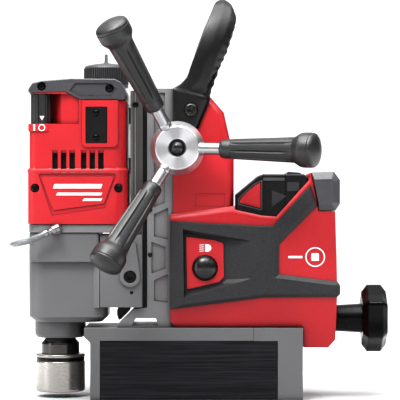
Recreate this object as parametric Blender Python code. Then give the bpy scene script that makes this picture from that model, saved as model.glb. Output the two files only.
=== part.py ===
"""Magnetic-base drilling machine with a battery-powered motor on a rack-driven slide.

Sizes are in millimetres and the helpers turn them into metres. +X points from the motor to the
rear knob, +Z points up and -Y is the operator's side. The origin is the centre of the magnet's
lower face, which clamps to the workpiece.
"""
import math

import bmesh
import bpy
from mathutils import Vector

MM = 0.001
GAP = 0.3                       # clearance between neighbouring pieces

# Base and switchable magnet
BASE_HALF = 45.0                # half width of the base
PLATE_TOP = 72.0
PLATE_UNDER = 59.0              # lower face of the plate, top of the magnet
PLATE_NOSE = -112.5
FOOT_FRONT, FOOT_BACK = -106.5, -96.5
BLOCK_SEAM = 57.5               # where the rear block meets the plate
LEG_FRONT, BASE_BACK = 81.5, 106.5
ROTOR_Z = 34.3                  # axis of the magnet rotor
ROTOR_R = 18.0
POLE_GAP_HALF = 4.3             # the poles stand this far from the middle plane
KNOB_Z = 79.3                   # axis of the rear knob
KNOB_FLAT, KNOB_CORNER = 30.0, 34.4     # from the axis to a flat and to a corner of its six-sided head
SWITCH_MODULE = 2.0
KNOB_TEETH, ROTOR_TEETH = 15, 30
SWITCH_GEARS = (87.0, 99.0)

# Column and slide
COLUMN_FRONT = -49.5
COLUMN_HALF = 36.0
COLUMN_TOP = 312.0
SLIDE_FRONT, SLIDE_BACK = -66.5, -54.0
SLIDE_HALF = 33.0
SLIDE_FOOT, SLIDE_TOP = 92.3, 310.0
STOP_Z = 296.0                  # the stop pin's hole near the slide's top
TONGUE_BACK = -41.4
FEED_X, FEED_Z = -19.0, 251.6   # axis of the feed hub
FEED_MODULE = 2.0
FEED_TEETH = 12
RACK_HALF = 8.0
RACK_FOOT, RACK_TOP = 96.0, 270.0
RACK_STEPS = 26                 # teeth cut in the rack
CLAMP_Z = 123.0                 # height of the bracket's clamp bolt

# Gear case, motor and spindle
SPINDLE_X = -139.1
MOTOR_X = -119.0
GEAR_MODULE = 1.0
SPINDLE_TEETH, CLUSTER_SMALL = 44, 14
CLUSTER_BIG, MOTOR_TEETH = 32, 10
CASE_FOOT, CASE_STEP, CASE_TOP = 78.0, 138.0, 167.0
MOTOR_FOOT = 176.0
MOTOR_HALF, HEAD_HALF = 47.0, 45.4      # half widths below and above the casing's step
VENT_FOOT, VENT_TOP = 231.0, 248.0
VENT_WIDTH, VENT_PITCH = 5.4, 8.6
VENT_GROUPS = (-144.2, -115.5)  # left edge of the first slot of each group of three
SPLIT = 0.15                    # half the gap between two casing halves
DRUM_X, DRUM_Y, DRUM_R = -156.0, -35.0, 10.5
BOTTLE_X, BOTTLE_Y, BOTTLE_R = -96.0, 77.0, 26.0
ARBOR_R = 9.55                  # socket for a 19 mm shank

# Feed hub and arms
HUB_FRONT = -66.0
ARM_ROOT_Y = -51.0
ARM_TILT = math.radians(24.0)
ARM_ANGLES = (-1.5, 118.5, 238.5)
ARM_LENGTH = 151.0

# Housing and battery
TOWER_HALF = 38.0
HOUSING_HALF = 46.0
SKIN_HALF = 49.5
BATTERY_HALF = 39.5
BUTTON_X, BUTTON_Z = 8.5, 132.0
HANDLE_BOLT_X, HANDLE_BOLT_Z = -5.5, 290.0

AXES = {
    "X": (Vector((0, 1, 0)), Vector((0, 0, 1)), Vector((1, 0, 0))),
    "Y": (Vector((1, 0, 0)), Vector((0, 0, 1)), Vector((0, 1, 0))),
    "Z": (Vector((1, 0, 0)), Vector((0, 1, 0)), Vector((0, 0, 1))),
}

FINISHES = {
    "red_shell": ((0.70, 0.03, 0.04), 0.42, 0.0),
    "dark_skin": ((0.05, 0.05, 0.055), 0.62, 0.0),
    "grey_plastic": ((0.16, 0.16, 0.17), 0.45, 0.0),
    "black_plastic": ((0.015, 0.015, 0.016), 0.45, 0.0),
    "cast_grey": ((0.22, 0.22, 0.22), 0.48, 0.6),
    "magnet_black": ((0.02, 0.02, 0.024), 0.5, 0.3),
    "bright_metal": ((0.72, 0.72, 0.73), 0.22, 1.0),
    "steel": ((0.42, 0.40, 0.38), 0.35, 1.0),
    "dark_steel": ((0.04, 0.04, 0.04), 0.3, 0.9),
    "brass": ((0.75, 0.55, 0.25), 0.3, 1.0),
    "copper": ((0.75, 0.33, 0.16), 0.35, 0.8),
    "clear_hose": ((0.75, 0.77, 0.78), 0.12, 0.0),
    "white_plastic": ((0.8, 0.8, 0.78), 0.4, 0.0),
    "green_board": ((0.02, 0.16, 0.06), 0.5, 0.0),
}


# ---------------------------------------------------------------- helpers

def clear_scene():
    for thing in list(bpy.data.objects):
        bpy.data.objects.remove(thing, do_unlink=True)


def finish_of(slot):
    """The named material, made the first time it is asked for."""
    if slot in bpy.data.materials:
        return bpy.data.materials[slot]
    colour, roughness, metallic = FINISHES[slot]
    material = bpy.data.materials.new(slot)
    material.use_nodes = True
    shader = material.node_tree.nodes["Principled BSDF"]
    shader.inputs["Base Color"].default_value = (*colour, 1.0)
    shader.inputs["Roughness"].default_value = roughness
    shader.inputs["Metallic"].default_value = metallic
    return material


def to_object(name, bm, slot=None, origin=(0, 0, 0), round_piece=False):
    """Turn a mesh built in millimetres into an object in metres with its origin at ORIGIN."""
    bmesh.ops.remove_doubles(bm, verts=bm.verts, dist=2e-3)
    bmesh.ops.recalc_face_normals(bm, faces=bm.faces)
    bmesh.ops.translate(bm, verts=bm.verts, vec=-Vector(origin))
    bmesh.ops.scale(bm, verts=bm.verts, vec=(MM, MM, MM))
    mesh = bpy.data.meshes.new(name)
    bm.to_mesh(mesh)
    bm.free()
    if slot:
        mesh.materials.append(finish_of(slot))
    if round_piece:
        mesh.shade_smooth()
        mesh.set_sharp_from_angle(angle=math.radians(35))
    thing = bpy.data.objects.new(name, mesh)
    thing.location = Vector(origin) * MM
    bpy.context.collection.objects.link(thing)
    return thing


def slab_mesh(outline, low, high, axis):
    """Extrude an outline along an axis from LOW to HIGH."""
    across, up, along = AXES[axis]
    bm = bmesh.new()
    ring = [bm.verts.new(across * a + up * b + along * low) for a, b in outline]
    face = bm.faces.new(ring)
    grown = bmesh.ops.extrude_face_region(bm, geom=[face])
    moved = [part for part in grown["geom"] if isinstance(part, bmesh.types.BMVert)]
    bmesh.ops.translate(bm, verts=moved, vec=along * (high - low))
    return bm


def slab(name, outline, low, high, axis="Y", slot=None, origin=(0, 0, 0)):
    return to_object(name, slab_mesh(outline, low, high, axis), slot, origin)


def box(name, low, high, slot=None, origin=(0, 0, 0)):
    return slab(name, rectangle(low[0], low[2], high[0], high[2]), low[1], high[1], "Y", slot, origin)


def rectangle(a0, b0, a1, b1):
    return [(a0, b0), (a1, b0), (a1, b1), (a0, b1)]


def circle(a, b, radius, steps=24, start=0.0):
    turns = [start + 2 * math.pi * k / steps for k in range(steps)]
    return [(a + radius * math.cos(t), b + radius * math.sin(t)) for t in turns]


def arc(a, b, radius, first, last, steps):
    """Points on a circle between two angles in degrees, both ends included."""
    turns = [math.radians(first + (last - first) * k / steps) for k in range(steps + 1)]
    return [(a + radius * math.cos(t), b + radius * math.sin(t)) for t in turns]


def turned_mesh(profile, centre, along, steps, ring=False):
    """Spin (radius, distance) pairs about the line through CENTRE along ALONG."""
    along = Vector(along).normalized()
    across = along.orthogonal().normalized()
    centre = Vector(centre)
    bm = bmesh.new()
    verts = [bm.verts.new(centre + across * r + along * t) for r, t in profile]
    count = len(verts)
    pairs = [(k, (k + 1) % count) for k in range(count if ring else count - 1)]
    off_axis = [(a, b) for a, b in pairs if profile[a][0] > 0 or profile[b][0] > 0]
    edges = [bm.edges.new((verts[a], verts[b])) for a, b in off_axis]
    bmesh.ops.spin(bm, geom=verts + edges, cent=centre, axis=along,
                   angle=2 * math.pi, steps=steps, use_merge=True)
    return bm


def turned(name, profile, centre, axis, slot=None, steps=24, ring=False, origin=None):
    along = AXES[axis][2] if isinstance(axis, str) else axis
    bm = turned_mesh(profile, centre, along, steps, ring)
    return to_object(name, bm, slot, centre if origin is None else origin, round_piece=True)


def rod(name, a, b, radius, low, high, axis, slot=None, steps=24, origin=(0, 0, 0)):
    """A plain cylinder, given by its centre in the plane across the axis."""
    thing = slab(name, circle(a, b, radius, steps), low, high, axis, slot, origin)
    thing.data.shade_smooth()
    thing.data.set_sharp_from_angle(angle=math.radians(35))
    return thing


def loft_mesh(rings):
    """Skin a stack of rings that all have the same number of points, and cap both ends."""
    bm = bmesh.new()
    loops = [[bm.verts.new(point) for point in ring] for ring in rings]
    count = len(loops[0])
    for lower, upper in zip(loops, loops[1:]):
        for k in range(count):
            after = (k + 1) % count
            bm.faces.new((lower[k], lower[after], upper[after], upper[k]))
    bm.faces.new(loops[0])
    bm.faces.new(loops[-1])
    return bm


def carve(target, tool, operation="DIFFERENCE"):
    """Cut TOOL out of TARGET, or join it on; the tool itself is left out of the object."""
    tool.hide_render = True
    tool.display_type = "WIRE"
    step = target.modifiers.new(tool.name, "BOOLEAN")
    step.operation = operation
    step.solver = "EXACT"
    step.object = tool
    return target


def join(target, tool):
    return carve(target, tool, "UNION")


def chamfer_rim(bm, along_y, width, wanted=lambda middle: True):
    """Chamfer those edges of the flat face at y = ALONG_Y whose middle is WANTED."""
    chosen = []
    for edge in bm.edges:
        if all(abs(vert.co.y - along_y) < 0.01 for vert in edge.verts):
            middle = (edge.verts[0].co + edge.verts[1].co) / 2
            if wanted(middle):
                chosen.append(edge)
    bmesh.ops.bevel(bm, geom=chosen, offset=width, segments=1, profile=0.5, affect="EDGES",
                    clamp_overlap=True)
    return bm


def involute(angle):
    return math.tan(angle) - angle


def gear_outline(a, b, teeth, module, phase, tip=1.0, root=1.25, slack=0.22, flank=1):
    """A toothed wheel: involute flanks of FLANK chords, thinned by SLACK at the pitch circle."""
    pitch_r = module * teeth / 2
    pressure = math.radians(20)
    base_r = pitch_r * math.cos(pressure)
    low_r = pitch_r - root * module
    high_r = pitch_r + tip * module
    pitch_half = math.pi / (2 * teeth) - slack / (2 * pitch_r)

    def half_width(radius):
        inside = max(radius, base_r)
        return pitch_half + involute(pressure) - involute(math.acos(base_r / inside))

    radii = [low_r + (high_r - low_r) * k / flank for k in range(flank + 1)]
    points = []
    for tooth in range(teeth):
        middle = phase + 2 * math.pi * tooth / teeth
        sides = [(r, middle - half_width(r)) for r in radii]
        sides += [(r, middle + half_width(r)) for r in reversed(radii)]
        points += [(a + r * math.cos(t), b + r * math.sin(t)) for r, t in sides]
    return points


def meeting_phase(direction, teeth):
    """Phase that puts a gap of this wheel against a tooth that points along DIRECTION."""
    return direction + math.pi - math.pi / teeth


def third_corner(a, b, from_a, from_b):
    """Point at two given distances from A and B, on the +Y side."""
    span = math.dist(a, b)
    run = (from_a ** 2 - from_b ** 2 + span ** 2) / (2 * span)
    rise = math.sqrt(from_a ** 2 - run ** 2)
    ux, uy = (b[0] - a[0]) / span, (b[1] - a[1]) / span
    left = (a[0] + run * ux - rise * uy, a[1] + run * uy + rise * ux)
    right = (a[0] + run * ux + rise * uy, a[1] + run * uy - rise * ux)
    return max(left, right, key=lambda spot: spot[1])


def smooth_route(knots, step):
    """Catmull-Rom curve through the knots, read off about every STEP."""
    knots = [Vector(knot) for knot in knots]
    ends = [2 * knots[0] - knots[1]] + knots + [2 * knots[-1] - knots[-2]]
    dense = []
    for p0, p1, p2, p3 in zip(ends, ends[1:], ends[2:], ends[3:]):
        for k in range(20):
            t = k / 20
            dense.append(0.5 * (2 * p1 + (p2 - p0) * t + (2 * p0 - 5 * p1 + 4 * p2 - p3) * t ** 2
                                + (3 * p1 - p0 - 3 * p2 + p3) * t ** 3))
    dense.append(knots[-1])
    points = [dense[0]]
    for spot in dense[1:]:
        if (spot - points[-1]).length >= step:
            points.append(spot)
    points[-1] = dense[-1]
    return points


# ---------------------------------------------------------------- base and magnet

def make_base():
    plate = [(PLATE_NOSE, PLATE_TOP), (PLATE_NOSE, 63), (FOOT_FRONT, 57), (FOOT_FRONT, 0),
             (FOOT_BACK, 0), (FOOT_BACK, PLATE_UNDER), (BLOCK_SEAM - GAP / 2, PLATE_UNDER),
             (BLOCK_SEAM - GAP / 2, PLATE_TOP)]
    slab("base_plate", plate, -BASE_HALF, BASE_HALF, "Y", "cast_grey")
    block = [(BLOCK_SEAM + GAP / 2, PLATE_TOP), (BLOCK_SEAM + GAP / 2, PLATE_UNDER),
             (LEG_FRONT, PLATE_UNDER), (LEG_FRONT, 0), (BASE_BACK, 0), (BASE_BACK, PLATE_TOP)]
    rear = slab("base_rear_block", block, -BASE_HALF, BASE_HALF, "Y", "cast_grey")
    low, high = SWITCH_GEARS
    carve(rear, rod("cut_rotor_gear", 0, ROTOR_Z, 33.2, LEG_FRONT - 5, high + 1, "X"))
    carve(rear, rod("cut_knob_gear", 0, KNOB_Z, 18.2, low - 1.2, high + 1.2, "X"))


def make_magnet():
    """Two steel poles and a brass spacer round a magnet rotor whose rear end carries its gear."""
    low, high = FOOT_BACK + GAP, LEG_FRONT - GAP
    top = PLATE_UNDER - GAP
    bore = ROTOR_R + 0.4
    seam = POLE_GAP_HALF
    rise = math.degrees(math.asin(seam / bore))
    for side, name in ((-1, "magnet_pole_near"), (1, "magnet_pole_far")):
        outline = [(side * BASE_HALF, 0), (side * seam, 0)]
        outline += [(side * a, ROTOR_Z + b) for a, b in arc(0, 0, bore, rise - 90, 90 - rise, 14)]
        outline += [(side * seam, top), (side * BASE_HALF, top)]
        slab(name, outline, low, high, "X", "magnet_black")
    spacer = rectangle(GAP - seam, 0, seam - GAP, ROTOR_Z - bore - GAP)
    slab("pole_spacer", spacer, low, high, "X", "brass")
    profile = [(0, -92), (ROTOR_R, -92), (ROTOR_R, 78), (7.6, 78), (7.6, 99.7), (0, 99.7)]
    rotor = turned("magnet_rotor", profile, (0, 0, ROTOR_Z), "X", "steel", 20)
    teeth = gear_outline(0, ROTOR_Z, ROTOR_TEETH, SWITCH_MODULE, math.pi / 2, slack=0.35)
    join(rotor, slab("add_rotor_gear", teeth, *SWITCH_GEARS, "X"))


def make_knob():
    phase = meeting_phase(math.pi / 2, KNOB_TEETH)
    outline = gear_outline(0, KNOB_Z, KNOB_TEETH, SWITCH_MODULE, phase, slack=0.35)
    shaft = [(0, 86.2), (7, 86.2), (7, 148), (0, 148)]
    spindle = turned("knob_shaft", shaft, (0, 0, KNOB_Z), "X", "steel", 20)
    join(spindle, slab("add_knob_gear", outline, *SWITCH_GEARS, "X"))
    rings = []
    for along, scale in ((168.3, 0.80), (173.8, 1.0), (188.0, 1.0), (193.6, 0.78)):
        ring = []
        for k in range(24):
            turn = 2 * math.pi * k / 24
            off_face = (turn + math.pi / 6) % (math.pi / 3) - math.pi / 6
            radius = scale * min(KNOB_FLAT / math.cos(off_face), KNOB_CORNER)
            ring.append((along, radius * math.cos(turn), KNOB_Z + radius * math.sin(turn)))
        rings.append(ring)
    knob = to_object("magnet_knob", loft_mesh(rings), "black_plastic", (0, 0, KNOB_Z), True)
    neck = [(0, 141.4), (13.3, 141.4), (14.8, 168), (16.5, 172), (0, 172)]
    join(knob, turned("add_knob_neck", neck, (0, 0, KNOB_Z), "X", steps=16))
    carve(knob, rod("cut_knob_shaft", 0, KNOB_Z, 7.3, 135, 148.4, "X", steps=20))


# ---------------------------------------------------------------- column

def make_column():
    side = [(COLUMN_FRONT, COLUMN_TOP), (COLUMN_FRONT, 92), (-63.5, 90), (-79.5, 74),
            (-79.5, PLATE_TOP + GAP), (-26.5, PLATE_TOP + GAP), (-26.5, 183), (-23.9, 183),
            (-23.9, COLUMN_TOP)]
    column = slab("column", side, -COLUMN_HALF, COLUMN_HALF, "Y", "cast_grey")
    join(column, box("add_column_back", (-30, -33, PLATE_TOP + GAP), (0, 33, 300)))
    way = [(-60, -14.4), (-48.4, -14.4), (-42.3, -19.4), (-41.0, -19.4), (-41.0, -9.5),
           (-28.5, -9.5), (-28.5, 9.5), (-41.0, 9.5), (-41.0, 19.4), (-42.3, 19.4),
           (-48.4, 14.4), (-60, 14.4)]
    carve(column, slab("cut_slide_way", way, SLIDE_FOOT - 0.6, COLUMN_TOP + 5, "Z"))
    carve(column, rod("cut_pinion_room", FEED_X, FEED_Z, 15.5, -9.5, 9.5, "Y", steps=20))
    carve(column, rod("cut_shaft_near", FEED_X, FEED_Z, 9.4, -50, -5, "Y"))
    carve(column, rod("cut_shaft_far", FEED_X, FEED_Z, 6.9, 5, 50, "Y"))
    slot = [(-65.2, 73.8), (-60.8, 81.2), (-41.0, 81.2), (-38.0, 73.8)]
    carve(column, slab("cut_strap_slot", slot, -60, 60))
    pockets = {
        "cut_pocket_a": [(-43, 308), (-31.5, 308), (-31.5, 197), (-43, 192.5)],
        "cut_pocket_b": [(-43, 186), (-28.5, 192.5), (-28.5, 160), (-43, 163.5)],
        "cut_pocket_c": [(-45.5, 158.5), (-31, 153), (-31, 131), (-45.5, 126)],
        "cut_pocket_d": [(-43, 119.5), (-28.5, 126), (-28.5, 96.5), (-43, 98.5)],
    }
    for name, outline in pockets.items():
        for side_sign, suffix in ((-1, "_near"), (1, "_far")):
            ends = sorted((side_sign * (COLUMN_HALF - 2.2), side_sign * (COLUMN_HALF + 5)))
            carve(column, slab(name + suffix, outline, *ends))
    for sign, name in ((-1, "gib_strip_near"), (1, "gib_strip_far")):
        ends = sorted((sign * 16, sign * 32))
        box(name, (SLIDE_BACK + GAP, ends[0], SLIDE_FOOT), (COLUMN_FRONT - GAP, ends[1], 311),
            "black_plastic")


def make_work_light():
    outline = [(-79.5, 91.2), (-67.5, 91.2), (-67.5, 88.8), (-78.2, 78.1)]
    outline += [(-79.2, 79.2), (-80.6, 83), (-80.8, 88)]
    slab("work_light", outline, -15, 15, "Y", "black_plastic")


# ---------------------------------------------------------------- housing

LOWER_SIDE = [(-26.1, 78), (-20.5, 73), (107.2, 73), (107.8, 51.5), (132.5, 51.5), (139.5, 59.5),
              (140.5, 102), (140.5, 120), (138.7, 188.7), (121.9, 188.7), (114.4, 227.2),
              (78.5, 187), (65.5, 188), (37.5, 194), (-26.1, 186)]
TOWER_SIDE = [(-23.5, 180), (37.5, 180), (37.5, 243), (27.5, 288), (14.5, 303), (-23.5, 311.6)]
SKIN_SIDE = [(-26.1, 179), (76.5, 174), (113.5, 215), (120.5, 194), (82.5, 155.5), (82.5, 126),
             (132.5, 119.5), (140.5, 119), (143.5, 114.5), (143.5, 106), (140.5, 103),
             (67.1, 102.5), (-26.1, 90.6)]
RECESS_MOUTH = [(-13.5, 171), (55.5, 159), (55.5, 122), (43.5, 118), (-12.5, 102.5)]
RECESS_FLOOR = [(-11.8, 166), (30, 160.5), (30, 120.5), (25, 116), (-11.8, 107.5)]


def recess_tool(name, mouth_y, floor_y, grow):
    """The sloped recess round the light switch, grown outwards by GROW on every side."""
    rings = []
    for outline, depth in ((RECESS_MOUTH, mouth_y), (RECESS_FLOOR, floor_y)):
        middle_x = sum(x for x, z in outline) / len(outline)
        middle_z = sum(z for x, z in outline) / len(outline)
        ring = []
        for x, z in outline:
            away = Vector((x - middle_x, z - middle_z))
            away = away + away.normalized() * grow
            ring.append((middle_x + away.x, depth, middle_z + away.y))
        rings.append(ring)
    return to_object(name, loft_mesh(rings))


def make_housing_half(side, name):
    """Half of the red rear housing: the narrow tower on the wider lower case."""
    outer = side * HOUSING_HALF
    bm = slab_mesh(LOWER_SIDE, side * SPLIT, outer, "Y")
    chamfer_rim(bm, outer, 7.5, lambda middle: middle.z > 183 and middle.x < 112)
    shell = to_object(name, bm, "red_shell")
    tower_bm = slab_mesh(TOWER_SIDE, side * SPLIT, side * TOWER_HALF, "Y")
    chamfer_rim(tower_bm, side * TOWER_HALF, 7.0, lambda middle: middle.x > 15 and middle.z > 182)
    join(shell, to_object("add_tower_" + name, tower_bm))

    def hollow(tag, outline, depth):
        ends = sorted((-side * 1.0, side * depth))
        carve(shell, slab("cut_" + tag + name, outline, *ends))

    hollow("tower_front_", [(-40, 150), (5, 150), (5, 301), (-40, 320)], 35.5)
    hollow("tower_back_", [(-10, 150), (33.5, 150), (33.5, 241.5), (23.8, 285.6), (11, 299), (-10, 303)],
           31.5)
    hollow("front_", [(-40, 76), (36, 76), (36, 180), (-40, 180)], 37.0)
    hollow("foot_", [(-40, 60), (0.6, 60), (0.6, 190), (-40, 190)], 36.6)
    hollow("well_", [(38.5, 100), (112.4, 100), (112.4, 240), (38.5, 240)], 42.0)
    hollow("rear_", [(115, 56), (132, 56), (136.3, 61), (137.3, 102), (137.3, 120), (135.6, 184),
                     (115, 184)], 43.0)
    hollow("drive_", [(60, 76.2), (120, 76.2), (120, 97.5), (60, 97.5)], 37.0)
    carve(shell, rod("cut_shaft_" + name, 0, KNOB_Z, 9.2, 80, 150, "X", steps=20))
    low, high = SWITCH_GEARS
    carve(shell, box("cut_gear_slot_" + name, (low - 1.2, -18.2, 70), (high + 1.2, 18.2, 80)))
    ends = sorted((side * 30, side * 60))
    carve(shell, rod("cut_hub_" + name, FEED_X, FEED_Z, 12.5, *ends, "Y", steps=28))
    carve(shell, rod("cut_bolt_" + name, HANDLE_BOLT_X, HANDLE_BOLT_Z, 4.4, *ends, "Y", steps=16))
    recess = rectangle(-1.5, 193, 28.5, 207)
    ends = sorted((side * (TOWER_HALF - 0.8), side * 60))
    carve(shell, slab("cut_label_" + name, recess, *ends))
    return shell


def make_skin_half(side, name):
    """Soft dark skin over the lower case, which wraps round the rear corner."""
    bm = slab_mesh(SKIN_SIDE, side * (HOUSING_HALF + GAP), side * SKIN_HALF, "Y")
    chamfer_rim(bm, side * SKIN_HALF, 2.2)
    skin = to_object(name, bm, "dark_skin")
    ends = sorted((side * SPLIT, side * (HOUSING_HALF + 1)))
    wrap = [(140.8, 104), (143.5, 106), (143.5, 114.5), (140.8, 118)]
    join(skin, slab("add_wrap_" + name, wrap, *ends))
    return skin


def make_housing():
    near = make_housing_half(-1, "housing_near")
    make_housing_half(1, "housing_far")
    skin = make_skin_half(-1, "grip_skin_near")
    make_skin_half(1, "grip_skin_far")
    join(skin, recess_tool("add_switch_cup", -47.5, -40.9, 1.6))
    carve(skin, recess_tool("cut_switch_recess", -49.7, -42.7, 0.0))
    carve(near, recess_tool("cut_cup_room", -48.2, -40.4, 3.6))
    carve(skin, rod("cut_button_well", BUTTON_X, BUTTON_Z, 13.3, -60, -39, "Y", steps=20))
    panel = [(-10.5, 163.5), (18.5, 160), (27, 156.5), (27.5, 123), (23, 118), (-9.5, 110.5)]
    plate = slab("light_switch_panel", panel, -44.4, -43.0, "Y", "red_shell")
    carve(plate, rod("cut_button_hole", BUTTON_X, BUTTON_Z, 12.95, -50, -40, "Y", steps=20))
    dome = [(0, -50.6), (5.5, -50.2), (9.5, -48.9), (12, -46.6), (12.6, -45), (12.6, -43.4), (0, -43.4)]
    turned("light_button", dome, (BUTTON_X, 0, BUTTON_Z), "Y", "black_plastic", 20)
    cap = [(114.9, 227.6), (137.5, 228.3), (143.5, 220), (143.5, 196), (138.8, 189.1), (122.3, 189.1)]
    bumper_bm = slab_mesh(cap, -SKIN_HALF, SKIN_HALF, "Y")
    for end in (-SKIN_HALF, SKIN_HALF):
        chamfer_rim(bumper_bm, end, 3.0)
    bumper = to_object("rear_bumper", bumper_bm, "grey_plastic")
    inner = [(121, 224), (136, 224), (139.5, 219), (139.5, 197), (136, 185), (125, 185)]
    carve(bumper, slab("cut_bumper_inside", inner, -44, 44))
    box("control_board", (19, -31, 88), (21, 31, 176), "green_board")
    block = box("battery_terminal_block", (52, -24, 100.3), (98, 24, 106), "black_plastic")
    for k in range(4):
        middle = -15 + 10 * k
        join(block, box("add_blade_%d" % k, (64, middle - 0.8, 104), (86, middle + 0.8, 118)))


def make_battery():
    side = [(39.7, 112), (39.7, 205.4), (62.5, 224.5), (67, 226), (108, 226), (112, 222), (112, 112)]
    bm = slab_mesh(side, -BATTERY_HALF, BATTERY_HALF, "Y")
    for end in (-BATTERY_HALF, BATTERY_HALF):
        chamfer_rim(bm, end, 2.5, lambda middle: middle.z > 150)
    case = to_object("battery_case", bm, "black_plastic")
    carve(case, box("cut_contact_slot", (61, -18, 105), (89, 18, 121)))
    latch = [(43.4, 191.5), (64.3, 191.5), (64.3, 217.6), (52, 208.6), (43.4, 200)]
    room = [(42.9, 191), (64.8, 191), (64.8, 218.4), (51.7, 209.1), (42.9, 200.3)]
    for sign, name in ((-1, "battery_latch_near"), (1, "battery_latch_far")):
        ends = sorted((sign * 33, sign * 60))
        carve(case, slab("cut_room_" + name, room, *ends))
        ends = sorted((sign * 36.5, sign * 40.4))
        slab(name, latch, *ends, "Y", "red_shell")


# ---------------------------------------------------------------- carry handle

def make_handle():
    """Arched handle: its side outline leans back, and an upright arch cuts it to a loop."""
    side = [(-23.3, 272), (-23.3, 311.9), (-16.5, 316), (-9.9, 323), (-7.0, 331), (13.3, 387.5),
            (18.3, 399.5), (21.0, 403.0), (25.0, 404.3), (31.0, 402.8), (38.4, 395.6), (40.4, 388),
            (22.5, 332), (13.2, 307), (13.8, 301), (2.0, 272)]
    handle = slab("carry_handle", side, -52, 52, "Y", "dark_skin")
    outer = [(-44, 265), (-44, 316), (-50, 334)]
    outer += arc(-14, 368.5, 36, 180, 90, 7)
    outer += [(-a, b) for a, b in reversed(outer)]
    inner = [(-TOWER_HALF - GAP, 255), (-TOWER_HALF - GAP, 356)]
    inner += arc(-20.3, 357, 18, 180, 90, 4)
    inner += [(-a, b) for a, b in reversed(inner)]
    carve(handle, slab("keep_arch", outer, -60, 80, "X"), "INTERSECT")
    carve(handle, slab("cut_hand_gap", inner, -70, 90, "X"))
    for sign, name in ((-1, "handle_bolt_near"), (1, "handle_bolt_far")):
        along = (0, sign, 0)
        centre = (HANDLE_BOLT_X, 0, HANDLE_BOLT_Z)
        tag = "cut_seat_" + name
        carve(handle, turned(tag, [(0, 37), (4.3, 37), (4.3, 42.2), (7.4, 42.2), (7.4, 60), (0, 60)],
                             centre, along, steps=24))
        profile = [(0, 33.6), (4.0, 33.6), (4.0, 42.5), (7.0, 42.5), (7.0, 44.5), (5.6, 46.3),
                   (2.6, 46.6), (2.4, 44.6), (0, 44.6)]
        turned(name, profile, centre, along, "dark_steel", 14)


# ---------------------------------------------------------------- feed hub and arms

def make_feed():
    spot = (FEED_X, 0, FEED_Z)
    profile = [(0, -62), (9, -62), (9, -12), (6.5, -12), (6.5, 34), (0, 34)]
    shaft = turned("pinion_shaft", profile, spot, "Y", "steel", 20)
    outline = gear_outline(FEED_X, FEED_Z, FEED_TEETH, FEED_MODULE, math.pi, tip=1.0, root=0.95,
                           slack=0.35, flank=2)
    join(shaft, slab("add_feed_pinion", outline, -RACK_HALF, RACK_HALF))
    profile = [(9.3, -45.4), (13.5, -45.4), (13.5, -50), (26.8, -50), (27, -55), (21.6, HUB_FRONT),
               (20.6, HUB_FRONT - 0.8), (8.4, HUB_FRONT + 0.4), (8.4, -62.8), (9.3, -62.8)]
    hub = turned("feed_hub", profile, spot, "Y", "bright_metal", 24, ring=True)
    cap = [(0, -71.6), (3.5, -71.2), (6.2, -69.6), (7.7, -67), (7.9, -64), (7.9, -62.4), (0, -62.4)]
    turned("hub_cap", cap, spot, "Y", "black_plastic", 14)
    root = Vector((FEED_X, ARM_ROOT_Y, FEED_Z))
    for number, degrees in enumerate(ARM_ANGLES, start=1):
        turn = math.radians(degrees)
        along = Vector((math.cos(turn) * math.cos(ARM_TILT), -math.sin(ARM_TILT),
                        math.sin(turn) * math.cos(ARM_TILT)))
        carve(hub, turned("cut_socket_%d" % number, [(0, 15), (6.5, 15), (6.5, 40), (0, 40)], root,
                          along, steps=20))
        turned("feed_rod_%d" % number, [(0, 15.4), (6.15, 15.4), (6.15, 139), (0, 139)], root, along,
               "bright_metal", 14, origin=spot)
        grip = [(6.5, 48), (8.2, 48.4), (9.4, 51), (9.6, 60), (10.6, 62), (12.6, 121), (14.6, 126),
                (17.0, 132), (17.2, 144), (15.6, 147), (9, 150.3), (0, ARM_LENGTH), (0, 140), (6.5, 140)]
        turned("feed_grip_%d" % number, grip, root, along, "black_plastic", 16, ring=True,
               origin=spot)


# ---------------------------------------------------------------- carriage

def make_slide():
    section = [(SLIDE_FRONT, -SLIDE_HALF), (SLIDE_BACK, -SLIDE_HALF), (SLIDE_BACK, -14), (-48.6, -14),
               (-42.5, -19), (TONGUE_BACK, -19), (TONGUE_BACK, 19), (-42.5, 19), (-48.6, 14),
               (SLIDE_BACK, 14), (SLIDE_BACK, SLIDE_HALF), (SLIDE_FRONT, SLIDE_HALF)]
    plate = slab("slide_plate", section, SLIDE_FOOT, SLIDE_TOP, "Z", "steel")
    carve(plate, rod("cut_stop_hole", -61.5, STOP_Z, 3.2, -60, 60, "Y", steps=16))
    pitch_x = FEED_X - FEED_MODULE * FEED_TEETH / 2
    step = math.pi * FEED_MODULE
    tip_x, root_x = pitch_x + 1.3, pitch_x - 2.5
    half = step / 4 - 0.175
    slope = math.tan(math.radians(20))
    tip_half = half - (tip_x - pitch_x) * slope
    root_half = half + (pitch_x - root_x) * slope
    outline = [(TONGUE_BACK + GAP, RACK_TOP), (TONGUE_BACK + GAP, RACK_FOOT), (root_x, RACK_FOOT)]
    lowest = FEED_Z + step / 2 - step * (RACK_STEPS - 2)
    for k in range(RACK_STEPS):
        middle = lowest + step * k
        outline += [(root_x, middle - root_half), (tip_x, middle - tip_half),
                    (tip_x, middle + tip_half), (root_x, middle + root_half)]
    outline.append((root_x, RACK_TOP))
    slab("feed_rack", outline, -RACK_HALF, RACK_HALF, "Y", "steel")


def oval_section(x0, x1, half, left, right, inset=0.0, steps=6):
    """Rounded outline between X0 and X1 seen from above, with its own corner radius at each end."""
    x0, x1, half = x0 + inset, x1 - inset, half - inset
    points = arc(x0 + left, half - left, left, 180, 90, steps)
    points += arc(x1 - right, half - right, right, 90, 0, steps)
    points += arc(x1 - right, right - half, right, 0, -90, steps)
    points += arc(x0 + left, left - half, left, -90, -180, steps)
    return points


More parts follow.
